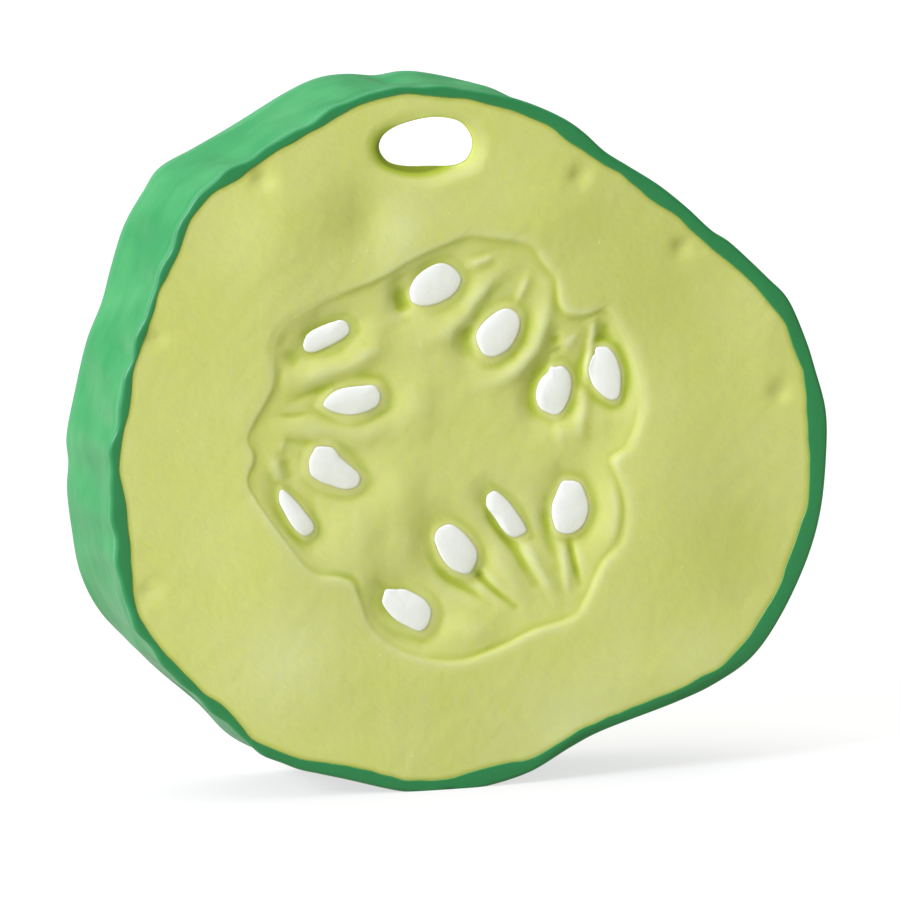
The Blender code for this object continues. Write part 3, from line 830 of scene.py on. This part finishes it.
@dataclass
class FleshBody:
    """The moulded body on one polar grid, from the front face over the wall to the back, and the slot.

    Args:
        spokes: directions of the grid.
        floor_rings: rings over the cavity floor, front and back.
        floor_crowding: how far those crowd towards the line; they end `floor_margin` before it.
        line_gaps: the rings across the cavity line, by their distance inside it.
        most_slant: the most by which those are drawn apart where the line runs slantwise.
        face_rings: rings from there to the paint.
        web_turns: the slot's window in the grid, from and to these directions in degrees.
        web_shares: the window's span between cavity line and paint line.
        wall_shares: depths of the wall's rings as shares of the thickness.
        foot_gap: how far the body stays above the floor, under the paint.
        under_coat: how far the body lies under the paint's outside.
        hidden_ring: the last ring's reach under the paint: a share of the rim, and its least and most.
        paint_line_shade: how hollow the face counts beside the paint, as painted shade along its line,
            and over what distance.
        face_depth: how far under a face's plane a place still counts as face.
    """

    relief: FaceRelief
    rind: RindShape
    slot: SlotTunnel
    spokes: int = 480
    floor_rings: tuple[int, int] = (50, 34)
    floor_crowding: float = 0.45
    floor_margin: float = 0.3
    line_gaps: tuple[float, ...] = (
        1.2, 0.8, 0.5, 0.32, 0.2, 0.1, 0.0, -0.1, -0.2, -0.34, -0.55, -0.85, -1.2,
    )
    most_slant: float = 2.0
    face_rings: int = 26
    web_turns: Pair = (67.5, 109.5)
    web_shares: Pair = (0.19, 0.962)
    wall_shares: tuple[float, ...] = (0.12, 0.3, 0.5, 0.7, 0.88)
    foot_gap: float = 0.1
    under_coat: float = 0.2
    hidden_ring: Triple = (0.4, 0.01, 0.14)
    paint_line_shade: Pair = (0.08, 0.4)
    face_depth: float = 1.6

    def directions(self) -> Array:
        """The grid's directions from the hub."""
        return np.linspace(0.0, 2 * np.pi, self.spokes, endpoint=False)

    def face_reaches(self, side: Side) -> Array:
        """Distances from the hub of a face's rings, from the innermost out to just beneath the paint.

        Args:
            side: the face.

        Returns:
            An array (rings, spokes): rings over the cavity floor, rings close across its line, rings at
            equal shares of the way to the paint line, and one hidden under the paint.
        """
        angle = self.directions()
        line = self.relief.cavity.reach(angle)
        slant = 1.0 / self.relief.cavity.lean(angle)
        count = self.floor_rings[0 if side is Side.FRONT else 1]
        steps = np.linspace(0.0, 1.0, count + 1)[1:]
        shares = steps + self.floor_crowding * (steps - steps**2)
        inner = [(line - self.line_gaps[0] * slant - self.floor_margin) * share for share in shares]
        near = [line - gap * np.minimum(slant, self.most_slant) for gap in self.line_gaps]
        paint = self.rind.paint_line(angle, side)
        start = near[-1]
        outer = [start + (paint - start) * share for share in np.linspace(0, 1, self.face_rings + 1)[1:]]
        room = self.rind.edge(angle, side) - self.rind.edge_radius - self.under_coat - paint
        share, least, most = self.hidden_ring
        return np.array(inner + near + outer + [paint + np.clip(share * room, least, most)])

    def face_points(self, side: Side) -> Array:
        """Places of a face's rings, relief included, as (rings, spokes, 3)."""
        reach = self.face_reaches(side)
        x, z = place(self.directions(), reach)
        return ring_at(self.directions(), reach, side.value * (HALF + self.relief.height(x, z)))

    def wall_points(self) -> Array:
        """Places of the rings under the paint, from the front's rounding over the wall to the back's."""
        angle = self.directions()
        depths = THICKNESS * np.array(self.wall_shares)
        rings = self.rind.rings(angle, np.radians((0, 30, 60, 90)), depths)
        most = HALF - self.under_coat
        return np.array([ring_at(angle, reach - self.under_coat, np.clip(depth - HALF, -most, most))
                         for reach, depth in rings])

    def window(self, rows: int) -> tuple[slice, slice]:
        """The slot's window as rows and columns of one face's grid.

        Args:
            rows: how many rings lie inside the stretch between cavity and paint.

        Returns:
            The ring and spoke slices, ends included.
        """
        low, high = (int(round(share * self.face_rings)) + rows - 1 for share in self.web_shares)
        left, right = (int(round(turn / 360.0 * self.spokes)) for turn in self.web_turns)
        return slice(low, high + 1), slice(left, right + 1)

    @staticmethod
    def border(block: Array) -> Array:
        """The rim of a block of grid values, once round from its first row and its last column."""
        return np.concatenate([block[0, :-1], block[:-1, -1], block[-1, :0:-1], block[:0:-1, 0]])

    def build(self, finish: Material) -> bpy.types.Object:
        """Make the body: the grid with the slot's windows cut out and the slot's rings set in."""
        front, back = (self.face_points(side) for side in Side)
        grid = np.concatenate([front, self.wall_points(), back[::-1]])
        grid[..., 2] = np.maximum(grid[..., 2], self.foot_gap)
        rows = grid.shape[0]
        number = numbering(grid)
        quads = ring_quads(number)
        keep = np.ones(quads.shape[:2], dtype=bool)
        lines = len(self.line_gaps)
        front_rows, span = self.window(self.floor_rings[0] + lines)
        back_rows, _ = self.window(self.floor_rings[1] + lines)
        back_rows = slice(rows - back_rows.stop, rows - back_rows.start)
        for window in (front_rows, back_rows):
            keep[window.start:window.stop - 1, span.start:span.stop - 1] = False
        front_rim = self.border(number[front_rows, span])
        back_rim = self.border(number[back_rows, span][::-1])
        flat = grid.reshape(-1, 3)
        tunnel = self.slot.rings(flat[front_rim], flat[back_rim], self.relief)
        chain = np.concatenate([front_rim[None], numbering(tunnel, flat.shape[0]), back_rim[None]])
        level = float(self.relief.height(np.array(HUB[:1]), np.array(HUB[1:]))[0])
        poles = np.array([[HUB[0], side.value * (HALF + level), HUB[1]] for side in Side])
        points = np.concatenate([flat, tunnel.reshape(-1, 3), poles])
        pole = points.shape[0] - 2
        faces = [quads[keep], ring_quads(chain), fan(pole, number[0]), fan(pole + 1, number[-1])]
        piece = make_piece("flesh_body", points, faces, finish)
        # Values for painted shade in creases and beside the paint, painted highlight on ridges and
        # painted shadow in the slot's mouth.
        keep_values(piece, "hollow", self.painted_shading(points, number.size, tunnel.shape[1]))
        # The patches of painted light and shade, kept for the finish.
        keep_values(piece, "painted_light_shade", sum(painted_light_shade.lift(points[:, 0], points[:, 2]) for painted_light_shade in PAINTED_LIGHT_AND_SHADE))
        return piece

    def painted_shading(self, points: Array, count: int, mouth: int) -> Array:
        """How hollow each vertex counts to the finish, which paints shade by it and, where it is
        negative, highlight.

        Args:
            points: the body's vertices in millimetres.
            count: how many of them belong to the polar grid.
            mouth: how many points a ring round the slot has.

        Returns:
            How hollow the relief lies on the faces, deeper beside the paint by a Gaussian of the distance
            to its line for painted shade there, and the slot's own values in its front dish and lip.
        """
        values = np.zeros(points.shape[0])
        on_face = np.abs(points[:, 1]) > HALF - self.face_depth
        on_face[count:] = False
        values[on_face] = self.relief.hollow(points[on_face, 0], points[on_face, 2])
        direction, distance = self.relief.cavity.polar(points[:, 0], points[:, 2])
        most, width = self.paint_line_shade
        for side in Side:
            near = on_face & (points[:, 1] * side.value > 0.0)
            gap = self.rind.paint_line(direction[near], side) - distance[near]
            values[near] += most * np.exp(-(gap / width) ** 2)
        first = count + self.slot.web_rings * mouth
        last = first + (self.slot.dish_rings + self.slot.lip_rings - 1) * mouth
        angle, _ = self.slot.neck.polar(points[first:last, 0], points[first:last, 2])
        values[first:last] = self.slot.painted_shading(angle.reshape(-1, mouth)).ravel()
        return values


@dataclass
class PaintedRind:
    """The rind's paint: a thin closed coat from the front's paint line over the wall to the back's.

    Args:
        coat: how far the coat stands proud of the body.
        root: how far its inner side lies in the body.
        lip: width over which the coat swells up at its two brushed edges.
        lip_steps: the rings there, as (share of the lip's width, share of the full coat).
        least_band: the least width between paint line and rounding.
        most_lip, mid_band: the most of that width that the lip takes, and where the last flat ring lies.
        wall_crowding: how far the wall's rings crowd towards the edges.
        most_thinned: the most that the finish lets the rubber show at the brushed edges.
    """

    relief: FaceRelief
    rind: RindShape
    spokes: int = 720
    coat: float = 0.07
    root: float = 0.12
    lip: float = 0.18
    lip_steps: tuple[Pair, ...] = ((-0.05, -0.4), (0.0, 0.1), (0.35, 0.75), (1.0, 1.0))
    least_band: float = 0.02
    most_lip: float = 0.3
    mid_band: float = 0.65
    most_thinned: float = 0.85
    wall_crowding: float = 0.4
    wall_rings: int = 26
    edge_rings: int = 9

    def rim(self, angle: Array, side: Side) -> list[tuple[Array, float]]:
        """The flat rings between a face's paint line and its rounding.

        Args:
            angle: directions from the hub.
            side: the face.

        Returns:
            The rings' places and their shares of the full coat, in order from front to back.
        """
        line = self.rind.paint_line(angle, side)
        rounding = self.rind.edge(angle, side) - self.rind.edge_radius
        band = np.maximum(rounding - line, self.least_band)
        flat = [(line + np.minimum(self.lip * gap, band * self.most_lip), share)
                for gap, share in self.lip_steps]
        flat.append((line + band * self.mid_band, 1.0))
        rings = []
        for reach, share in flat:
            rise = self.relief.height(*place(angle, reach)) * (reach < rounding)
            rings.append((ring_at(angle, reach, side.value * (HALF + rise)), share))
        return rings if side is Side.FRONT else rings[::-1]

    def section(self) -> tuple[Array, Array, Array]:
        """The coat's guiding surface on the body.

        Returns:
            Its places (rings, spokes, 3), its outward normals, and each ring's share of the full coat.
        """
        angle = np.linspace(0.0, 2 * np.pi, self.spokes, endpoint=False)
        radius = self.rind.edge_radius
        steps = np.linspace(0.0, 1.0, self.wall_rings + 2)[1:-1]
        steps = steps + self.wall_crowding * (smooth_step(steps) - steps)
        depths = radius + (THICKNESS - 2 * radius) * steps
        outside = self.rind.rings(angle, np.linspace(0.0, np.pi / 2, self.edge_rings), depths)
        rings = [(ring_at(angle, reach, depth - HALF), 1.0) for reach, depth in outside]
        rings = self.rim(angle, Side.FRONT) + rings + self.rim(angle, Side.BACK)
        guide = np.array([ring for ring, _ in rings])
        along = np.gradient(guide, axis=0)
        around = (np.roll(guide, -1, axis=1) - np.roll(guide, 1, axis=1)) / 2
        normal = np.cross(around, along)
        normal /= np.linalg.norm(normal, axis=-1, keepdims=True)
        middle = guide.shape[0] // 2
        outward = np.sum(normal[middle] * (guide[middle] - np.array((HUB[0], 0.0, HUB[1]))), axis=-1)
        return guide, normal * np.sign(outward.mean()), np.array([share for _, share in rings])

    def build(self, finish: Material) -> bpy.types.Object:
        """Make the coat: the guide moved out along its normals, and back for its inner side."""
        guide, normal, shares = self.section()
        outer = guide + normal * (self.coat * shares)[:, None, None]
        inner = (guide - normal * self.root)[::-1]
        shell = np.concatenate([outer, inner])
        shell[..., 2] = np.maximum(shell[..., 2], 0.0)
        number = numbering(shell)
        quads = ring_quads(np.concatenate([number, number[:1]]))
        piece = make_piece("rind_coat", shell.reshape(-1, 3), [quads], finish)
        thinned = np.clip(1.0 - np.concatenate([shares, shares[::-1]]), 0.0, self.most_thinned)
        keep_values(piece, "thinned", np.repeat(thinned, self.spokes))
        return piece


@dataclass
class PaintedSeeds:
    """The seeds' paint on one face: a thin closed cap over each mound.

    Args:
        spokes, rings: the grid of one cap.
        coat: how far a cap stands proud of the mound.
        lip: width over which the coat swells up from its rim.
        root: how far its underside lies in the body.
        tuck: the underside's size as a share of the top's.
        rim_coat: how far along its swelling the coat starts at the rim.
        crowding: how far the rings crowd towards the rim.
    """

    relief: FaceRelief
    side: Side
    spokes: int = 72
    rings: int = 16
    coat: float = 0.07
    lip: float = 0.25
    root: float = 0.3
    tuck: float = 0.97
    rim_coat: float = 0.25
    crowding: float = 1.6

    def cap(self, seed: Seed) -> tuple[Array, Array, Array]:
        """One cap: a top that follows the relief inside the paint's outline, over a flat dish below it.

        Args:
            seed: the seed that it covers.

        Returns:
            Its points, quads and triangles, numbered from 0; both sides close at a pole.
        """
        line = seed.line()
        angle = np.linspace(0.0, 2 * np.pi, self.spokes, endpoint=False)
        reach = line.reach(angle)
        middle = np.array(line.centre)
        outline = [reach * np.cos(angle), reach * np.sin(angle)]
        shares = 1.0 - (1.0 - np.linspace(0.0, 1.0, self.rings + 1)[1:]) ** self.crowding
        x, z = (centre + np.outer(shares, way) for centre, way in zip(middle, outline))
        gap = (1.0 - shares[:, None]) * reach
        rise = self.relief.height(x, z) + self.coat * smooth_step(self.rim_coat + gap / self.lip)
        top = np.stack([x, self.side.value * (HALF + rise), z], axis=-1)
        x, z = (centre + np.outer(shares[::-3], way) * self.tuck for centre, way in zip(middle, outline))
        rise = self.relief.height(x, z) - self.root
        under = np.stack([x, self.side.value * (HALF + rise), z], axis=-1)
        grid = np.concatenate([top, under])
        level = float(self.relief.height(middle[:1], middle[1:])[0])
        poles = np.array([[middle[0], self.side.value * (HALF + level + drop), middle[1]]
                          for drop in (self.coat, -self.root)])
        number = numbering(grid)
        ends = np.concatenate([fan(number.size, number[0]), fan(number.size + 1, number[-1])])
        return np.concatenate([grid.reshape(-1, 3), poles]), ring_quads(number).reshape(-1, 4), ends

    def build(self, finish: Material) -> bpy.types.Object:
        """Make all the caps of one face as one piece."""
        points, quads, ends = zip(*(self.cap(seed) for seed in SEEDS))
        starts = np.cumsum([0] + [len(block) for block in points])
        faces = [np.concatenate([block + start for block, start in zip(blocks, starts)])
                 for blocks in (quads, ends)]
        name = f"seed_coats_{self.side.name.lower()}"
        return make_piece(name, np.concatenate(points), faces, finish)


@dataclass
class NodeBench:
    """The node tree of a material or a world, with short ways to add nodes and join them."""

    owner: Material | bpy.types.World

    @classmethod
    def fresh(cls, name: str) -> "NodeBench":
        """A new material of that name, with its Principled shader."""
        material = bpy.data.materials.new(name)
        material.use_nodes = True
        return cls(material)

    def add(self, kind: str, *values: object, settings: dict[str, object] | None = None,
            **inputs: object) -> bpy.types.Node:
        """Add a node.

        Args:
            kind: the node's type name without its ShaderNode prefix.
            values: values or sockets for its first inputs, in order.
            settings: properties of the node itself.
            inputs: the same as values, by the socket's name with _ for a space.

        Returns:
            The node.
        """
        node = self.owner.node_tree.nodes.new("ShaderNode" + kind)
        for key, value in (settings or {}).items():
            setattr(node, key, value)
        for socket, value in zip(node.inputs, values):
            self.feed(socket, value)
        for key, value in inputs.items():
            self.feed(node.inputs[key.replace("_", " ")], value)
        return node

    def feed(self, socket: Socket, value: object) -> None:
        """Join an output to a socket, or set the socket's own value; a colour gets its alpha."""
        if isinstance(value, Socket):
            self.owner.node_tree.links.new(value, socket)
        elif socket.type == "RGBA":
            socket.default_value = (*value, 1.0)
        else:
            socket.default_value = value

    def place(self, scale: Triple = (1.0, 1.0, 1.0), turn: Triple = (0.0, 0.0, 0.0)) -> Socket:
        """Object coordinates, stretched and turned by a Mapping node."""
        source = self.add("TexCoord").outputs["Object"]
        return self.add("Mapping", Vector=source, Scale=scale, Rotation=turn).outputs["Vector"]

    def noise(self, vector: Socket, scale: float, detail: float = 2.0, rough: float = 0.5) -> Socket:
        """Noise from 0 to 1 over a vector."""
        node = self.add("TexNoise", Vector=vector, Scale=scale, Detail=detail, Roughness=rough)
        return node.outputs["Fac"]

    def values(self, name: str) -> Socket:
        """The numbers that a piece keeps for its vertices under a name."""
        return self.add("Attribute", settings={"attribute_name": name}).outputs["Fac"]

    def span(self, value: Socket, source: Pair, target: Pair) -> Socket:
        """Carry a value from one range to another, clamped."""
        return self.add("MapRange", value, *source, *target).outputs["Result"]

    def mix(self, share: object, first: object, second: object) -> Socket:
        """Mix two colours."""
        node = self.add("Mix", settings={"data_type": "RGBA"})
        for index, value in ((0, share), (6, first), (7, second)):
            self.feed(node.inputs[index], value)
        return node.outputs[2]

    def tint(self, colour: object, *tints: tuple) -> Socket:
        """Bring other colours in over a colour, one after the other.

        Args:
            colour: the colour to begin with.
            tints: each as (value that brings it in, range over which it comes in, its shares at the ends
                of the range, the colour).

        Returns:
            The colour that comes of it.
        """
        for value, source, shares, other in tints:
            colour = self.mix(self.span(value, source, shares), colour, other)
        return colour

    def bumps(self, *layers: tuple[Socket, float, float]) -> Socket:
        """Bumps one over the other, each as (height, strength, distance)."""
        normal = None
        for height, strength, distance in layers:
            node = self.add("Bump", Height=height, Strength=strength, Distance=distance)
            if normal is not None:
                self.feed(node.inputs["Normal"], normal)
            normal = node.outputs["Normal"]
        return normal

    def finish(self, **inputs: object) -> Material:
        """Set or join sockets of the Principled shader, and hand over the material."""
        shader = self.owner.node_tree.nodes["Principled BSDF"]
        for key, value in inputs.items():
            self.feed(shader.inputs[key.replace("_", " ")], value)
        return self.owner


@dataclass(frozen=True)
class FleshFinish:
    """Soft matt natural rubber, yellow green, with specks of the mould; painted shade in its creases and
    patches, painted light on its ridges and patches.

    Args:
        base: the plain rubber, with `pale_and_painted_light` for its paler mottling, painted light and
            painted highlight, and `painted_shade_tone` for painted shade.
            deep, dark: painted shade in creases, and painted shadow in the slot's mouth.
        speck: the fine specks.
        mottling, specks, peel, grain: how close the patterns are, per metre.
    """

    base: Colour = (0.665, 0.69, 0.24)
    deep: Colour = (0.43, 0.52, 0.022)
    pale_and_painted_light: Colour = (0.71, 0.74, 0.42)
    painted_shade_tone: Colour = (0.56, 0.585, 0.175)
    painted_mouth_shade: Colour = (0.24, 0.3, 0.02)
    speck: Colour = (0.86, 0.86, 0.42)
    mottling: float = 90.0
    specks: float = 260.0
    peel: float = 420.0
    grain: float = 2600.0

    def material(self) -> Material:
        """Colour from slow mottling, painted light and shade patches, painted shade in creases and the
        slot's mouth, painted highlight on ridges, and specks; roughness and bump from fine noise.
        """
        bench = NodeBench.fresh("flesh_rubber")
        here = bench.place()
        mottled = tuple(0.5 * (a + b) for a, b in zip(self.base, self.pale_and_painted_light))
        painted_light_shade, hollow = bench.values("painted_light_shade"), bench.values("hollow")
        dots = bench.add("TexVoronoi", Vector=here, Scale=self.specks).outputs["Distance"]
        colour = bench.tint(
            self.base,
            (bench.noise(here, self.mottling, 3.0), (0.35, 0.65), (0.0, 0.5), mottled),
            # Painted shade and painted light, in patches over the faces.
            (painted_light_shade, (0.0, 1.0), (0.0, 1.0), self.painted_shade_tone),
            (painted_light_shade, (0.0, -1.0), (0.0, 1.0), self.pale_and_painted_light),
            # Painted shade: creases made deeper olive by how hollow they lie.
            (hollow, (0.008, 0.11), (0.0, 0.85), self.deep),
            # Painted shadow in the slot's mouth.
            (hollow, (0.14, 0.3), (0.0, 1.0), self.painted_mouth_shade),
            # Painted highlight: ridges made paler.
            (hollow, (-0.008, -0.09), (0.0, 0.85), self.pale_and_painted_light),
            (dots, (0.02, 0.045), (0.7, 0.0), self.speck))
        grain = bench.noise(here, self.grain, 3.0, 0.6)
        normal = bench.bumps((bench.noise(here, self.peel), 0.2, 0.0006), (grain, 0.06, 0.0002))
        return bench.finish(Base_Color=colour, Roughness=bench.span(grain, (0.3, 0.7), (0.5, 0.58)),
                            Normal=normal, Specular_IOR_Level=0.3, Subsurface_Weight=1.0,
                            Subsurface_Radius=(0.75, 0.9, 0.2), Subsurface_Scale=0.001)


@dataclass(frozen=True)
class RindFinish:
    """Satin green paint laid on with a brush along the rind.

    Args:
        base, thin, thick: the plain coat, and where it lies thinner or thicker.
        painted_edge_highlight: a painted highlight, the coat paler beside the edges, and `rim` painted
            shade, the band round the faces darker.
        bare: rubber that shows through at the brushed edges.
        brush: the strokes' stretch along X, Y and Z, per metre, and `slant` their turn.
        clouds, grain: how close the other patterns are, per metre.
    """

    base: Colour = (0.026, 0.253, 0.078)
    thin: Colour = (0.06, 0.318, 0.108)
    thick: Colour = (0.019, 0.228, 0.068)
    painted_edge_highlight: Colour = (0.08, 0.31, 0.14)
    rim: Colour = (0.016, 0.205, 0.066)
    bare: Colour = (0.25, 0.46, 0.1)
    brush: Triple = (60.0, 1500.0, 60.0)
    slant: Triple = (0.12, 0.0, 0.05)
    clouds: float = 120.0
    grain: float = 1800.0

    def material(self) -> Material:
        """Colour and roughness from clouds, faint brush strokes and distance from the middle plane, which
        paints a highlight beside the edges and shade on the faces' band.
        """
        bench = NodeBench.fresh("rind_paint")
        here = bench.place()
        strokes = bench.noise(bench.place(self.brush, self.slant), 1.0, 4.0, 0.6)
        clouds = bench.noise(here, self.clouds, 3.0)
        depth = bench.add("SeparateXYZ", Vector=here).outputs["Y"]
        outer = bench.add("Math", depth, settings={"operation": "ABSOLUTE"}).outputs[0]
        colour = bench.tint(
            self.thick,
            (strokes, (0.35, 0.7), (0.4, 1.0), self.base),
            (clouds, (0.4, 0.7), (0.0, 0.8), self.thin),
            # Painted highlight: paler paint just behind each face's edge.
            (outer, (0.0078, 0.0088), (0.0, 0.65), self.painted_edge_highlight),
            # Painted shade: the band round each face, which faces front, made darker.
            (outer, (0.0090, 0.0095), (0.0, 0.9), self.rim))
        colour = bench.mix(bench.values("thinned"), colour, self.bare)
        rough = bench.span(strokes, (0.3, 0.7), (0.42, 0.54))
        rubbed = bench.span(outer, (0.0084, 0.0092), (0.0, -0.06))
        rough = bench.add("Math", rough, rubbed, settings={"operation": "ADD"}).outputs[0]
        normal = bench.bumps((strokes, 0.08, 0.0002), (clouds, 0.32, 0.001),
                             (bench.noise(here, self.grain, 3.0), 0.08, 0.0002))
        return bench.finish(Base_Color=colour, Roughness=rough, Normal=normal, Specular_IOR_Level=0.35)


@dataclass(frozen=True)
class SeedFinish:
    """Matt white paint, a touch uneven."""

    base: Colour = (0.86, 0.86, 0.92)
    shade: Colour = (0.82, 0.83, 0.88)

    def material(self) -> Material:
        """Colour from slow clouds, with a faint brushed grain."""
        bench = NodeBench.fresh("seed_paint")
        here = bench.place()
        clouds = bench.noise(here, 420.0, 3.0)
        grain = bench.noise(here, 2200.0, 3.0)
        colour = bench.tint(self.base, (clouds, (0.4, 0.7), (0.0, 1.0), self.shade))
        return bench.finish(Base_Color=colour, Roughness=bench.span(grain, (0.3, 0.7), (0.5, 0.62)),
                            Normal=bench.bumps((grain, 0.12, 0.0002), (clouds, 0.12, 0.0005)),
                            Specular_IOR_Level=0.4)


@dataclass(frozen=True)
class WideLight:
    """A large far light, even over floor and slice.

    Args:
        aim: the way it lies from the slice, as a direction.
        spread: its angle across, in degrees.
        power: what a sheet facing it receives, where 1 makes white just white.
        tint: its colour, where 1 is plain.
        glossy: whether it shows in reflections.
    """

    name: str
    aim: Triple
    spread: float
    power: float
    tint: Colour = (1.0, 1.0, 1.0)
    glossy: bool = True

    def light(self) -> None:
        """Make the light."""
        data = bpy.data.lights.new(self.name, "SUN")
        data.energy = self.power * np.pi
        data.angle = np.radians(self.spread)
        data.color = self.tint
        lamp = into_scene(self.name, data)
        lamp.visible_glossy = self.glossy
        lamp.rotation_euler = Vector(self.aim).to_track_quat("Z", "Y").to_euler()


@dataclass
class Studio:
    """Plain white floor and surroundings, soft lights and the camera.

    Args:
        camera_turn, camera_rise: the view's azimuth and elevation in degrees.
        camera_distance: from the aim point, in millimetres.
        lens: focal length for `sensor`.
        fill, fill_tint: the surroundings' light, and `mirrored` its strength in reflections.
        floor_white: how much of the lights the floor shows, over `floor_glow` of its own.
        floor_bounce: the colour in which it throws their light back on the slice.
        contact_reach, contact_shade: reach in metres and depth of the shade where the slice stands.
        floor_size: the floor's width in metres.
    """

    camera_aim: Triple = (-3.1, -9.5, 43.2)
    camera_turn: float = 19.0
    camera_rise: float = 8.8
    camera_distance: float = 950.0
    lens: float = 304.0
    sensor: float = 36.0
    fill: float = 0.2
    fill_tint: Colour = (0.95, 1.0, 0.34)
    mirrored: float = 0.3
    floor_white: float = 0.16
    floor_glow: float = 0.87
    floor_bounce: Colour = (0.32, 0.34, 0.13)
    contact_reach: float = 0.03
    contact_shade: float = 0.22
    floor_size: float = 8.0
    lights: tuple[WideLight, ...] = (
        WideLight("key_light", (-0.8, -0.34, 0.5), 18.0, 1.32, (1.0, 1.0, 1.18)),
        WideLight("top_light", (-0.1, 0.05, 1.0), 70.0, 0.46),
        WideLight("back_light", (-0.25, 0.75, 0.6), 60.0, 0.45, glossy=False),
    )

    def camera(self) -> None:
        """Place the camera on the view's line, looking at the aim point."""
        turn, rise = np.radians(self.camera_turn), np.radians(self.camera_rise)
        away = Vector((-np.sin(turn) * np.cos(rise), -np.cos(turn) * np.cos(rise), np.sin(rise)))
        data = bpy.data.cameras.new("camera")
        data.lens = self.lens
        data.sensor_width = self.sensor
        eye = into_scene("camera", data)
        eye.location = (Vector(self.camera_aim) + away * self.camera_distance) * MM
        eye.rotation_euler = away.to_track_quat("Z", "Y").to_euler()
        bpy.context.scene.camera = eye

    def surroundings(self) -> None:
        """A backdrop that is white to the eye, dimmer in reflections and gentler still as a light."""
        world = bpy.data.worlds.new("studio")
        bpy.context.scene.world = world
        world.use_nodes = True
        world.node_tree.nodes.clear()
        bench = NodeBench(world)
        path = bench.add("LightPath")
        shown = bench.add("Background", self.fill_tint, self.fill).outputs[0]
        for ray, strength in (("Is Glossy Ray", self.mirrored), ("Is Camera Ray", 1.0)):
            white = bench.add("Background", (1.0, 1.0, 1.0), strength).outputs[0]
            shown = bench.add("MixShader", path.outputs[ray], shown, white).outputs[0]
        bench.add("OutputWorld", Surface=shown)

    def floor(self) -> None:
        """A wide white sheet that shows brighter than the light that it throws back."""
        half = self.floor_size / 2
        corners = [(-half, -half, 0), (half, -half, 0), (half, half, 0), (-half, half, 0)]
        mesh = bpy.data.meshes.new("floor")
        mesh.from_pydata(corners, [], [(0, 1, 2, 3)])
        bench = NodeBench.fresh("floor")
        lit = bench.add("BsdfDiffuse", Color=[self.floor_white] * 3).outputs[0]
        thrown = bench.add("BsdfDiffuse", Color=self.floor_bounce).outputs[0]
        # Painted shadow: the floor's own glow dims by ambient occlusion where the slice stands.
        open_share = bench.add("AmbientOcclusion", settings={"samples": 8}, Distance=self.contact_reach)
        least = self.floor_glow * (1.0 - self.contact_shade)
        strength = bench.span(open_share.outputs["AO"], (0.0, 1.0), (least, self.floor_glow))
        glow = bench.add("Emission", Strength=strength).outputs[0]
        both = bench.add("AddShader", lit, glow).outputs[0]
        path = bench.add("LightPath")
        mix = bench.add("MixShader", path.outputs["Is Diffuse Ray"], both, thrown)
        bench.feed(bench.owner.node_tree.nodes["Material Output"].inputs["Surface"], mix.outputs[0])
        mesh.materials.append(bench.owner)
        sheet = into_scene("floor", mesh)

    def build(self) -> None:
        """Set up camera, lights, floor and surroundings."""
        self.camera()
        self.surroundings()
        self.floor()
        for light in self.lights:
            light.light()
        bpy.context.scene.view_settings.view_transform = "Standard"


def main() -> None:
    """Build the slice on its frame, then the studio round it."""
    logging.basicConfig(level=logging.INFO, format="%(name)s %(message)s")
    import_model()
    relief = FaceRelief()
    rind = RindShape()
    FleshBody(relief, rind, SlotTunnel()).build(FleshFinish().material())
    PaintedRind(relief, rind).build(RindFinish().material())
    seed_paint = SeedFinish().material()
    for side in Side:
        PaintedSeeds(relief, side).build(seed_paint)
    Studio().build()


if __name__ == "__main__":
    main()
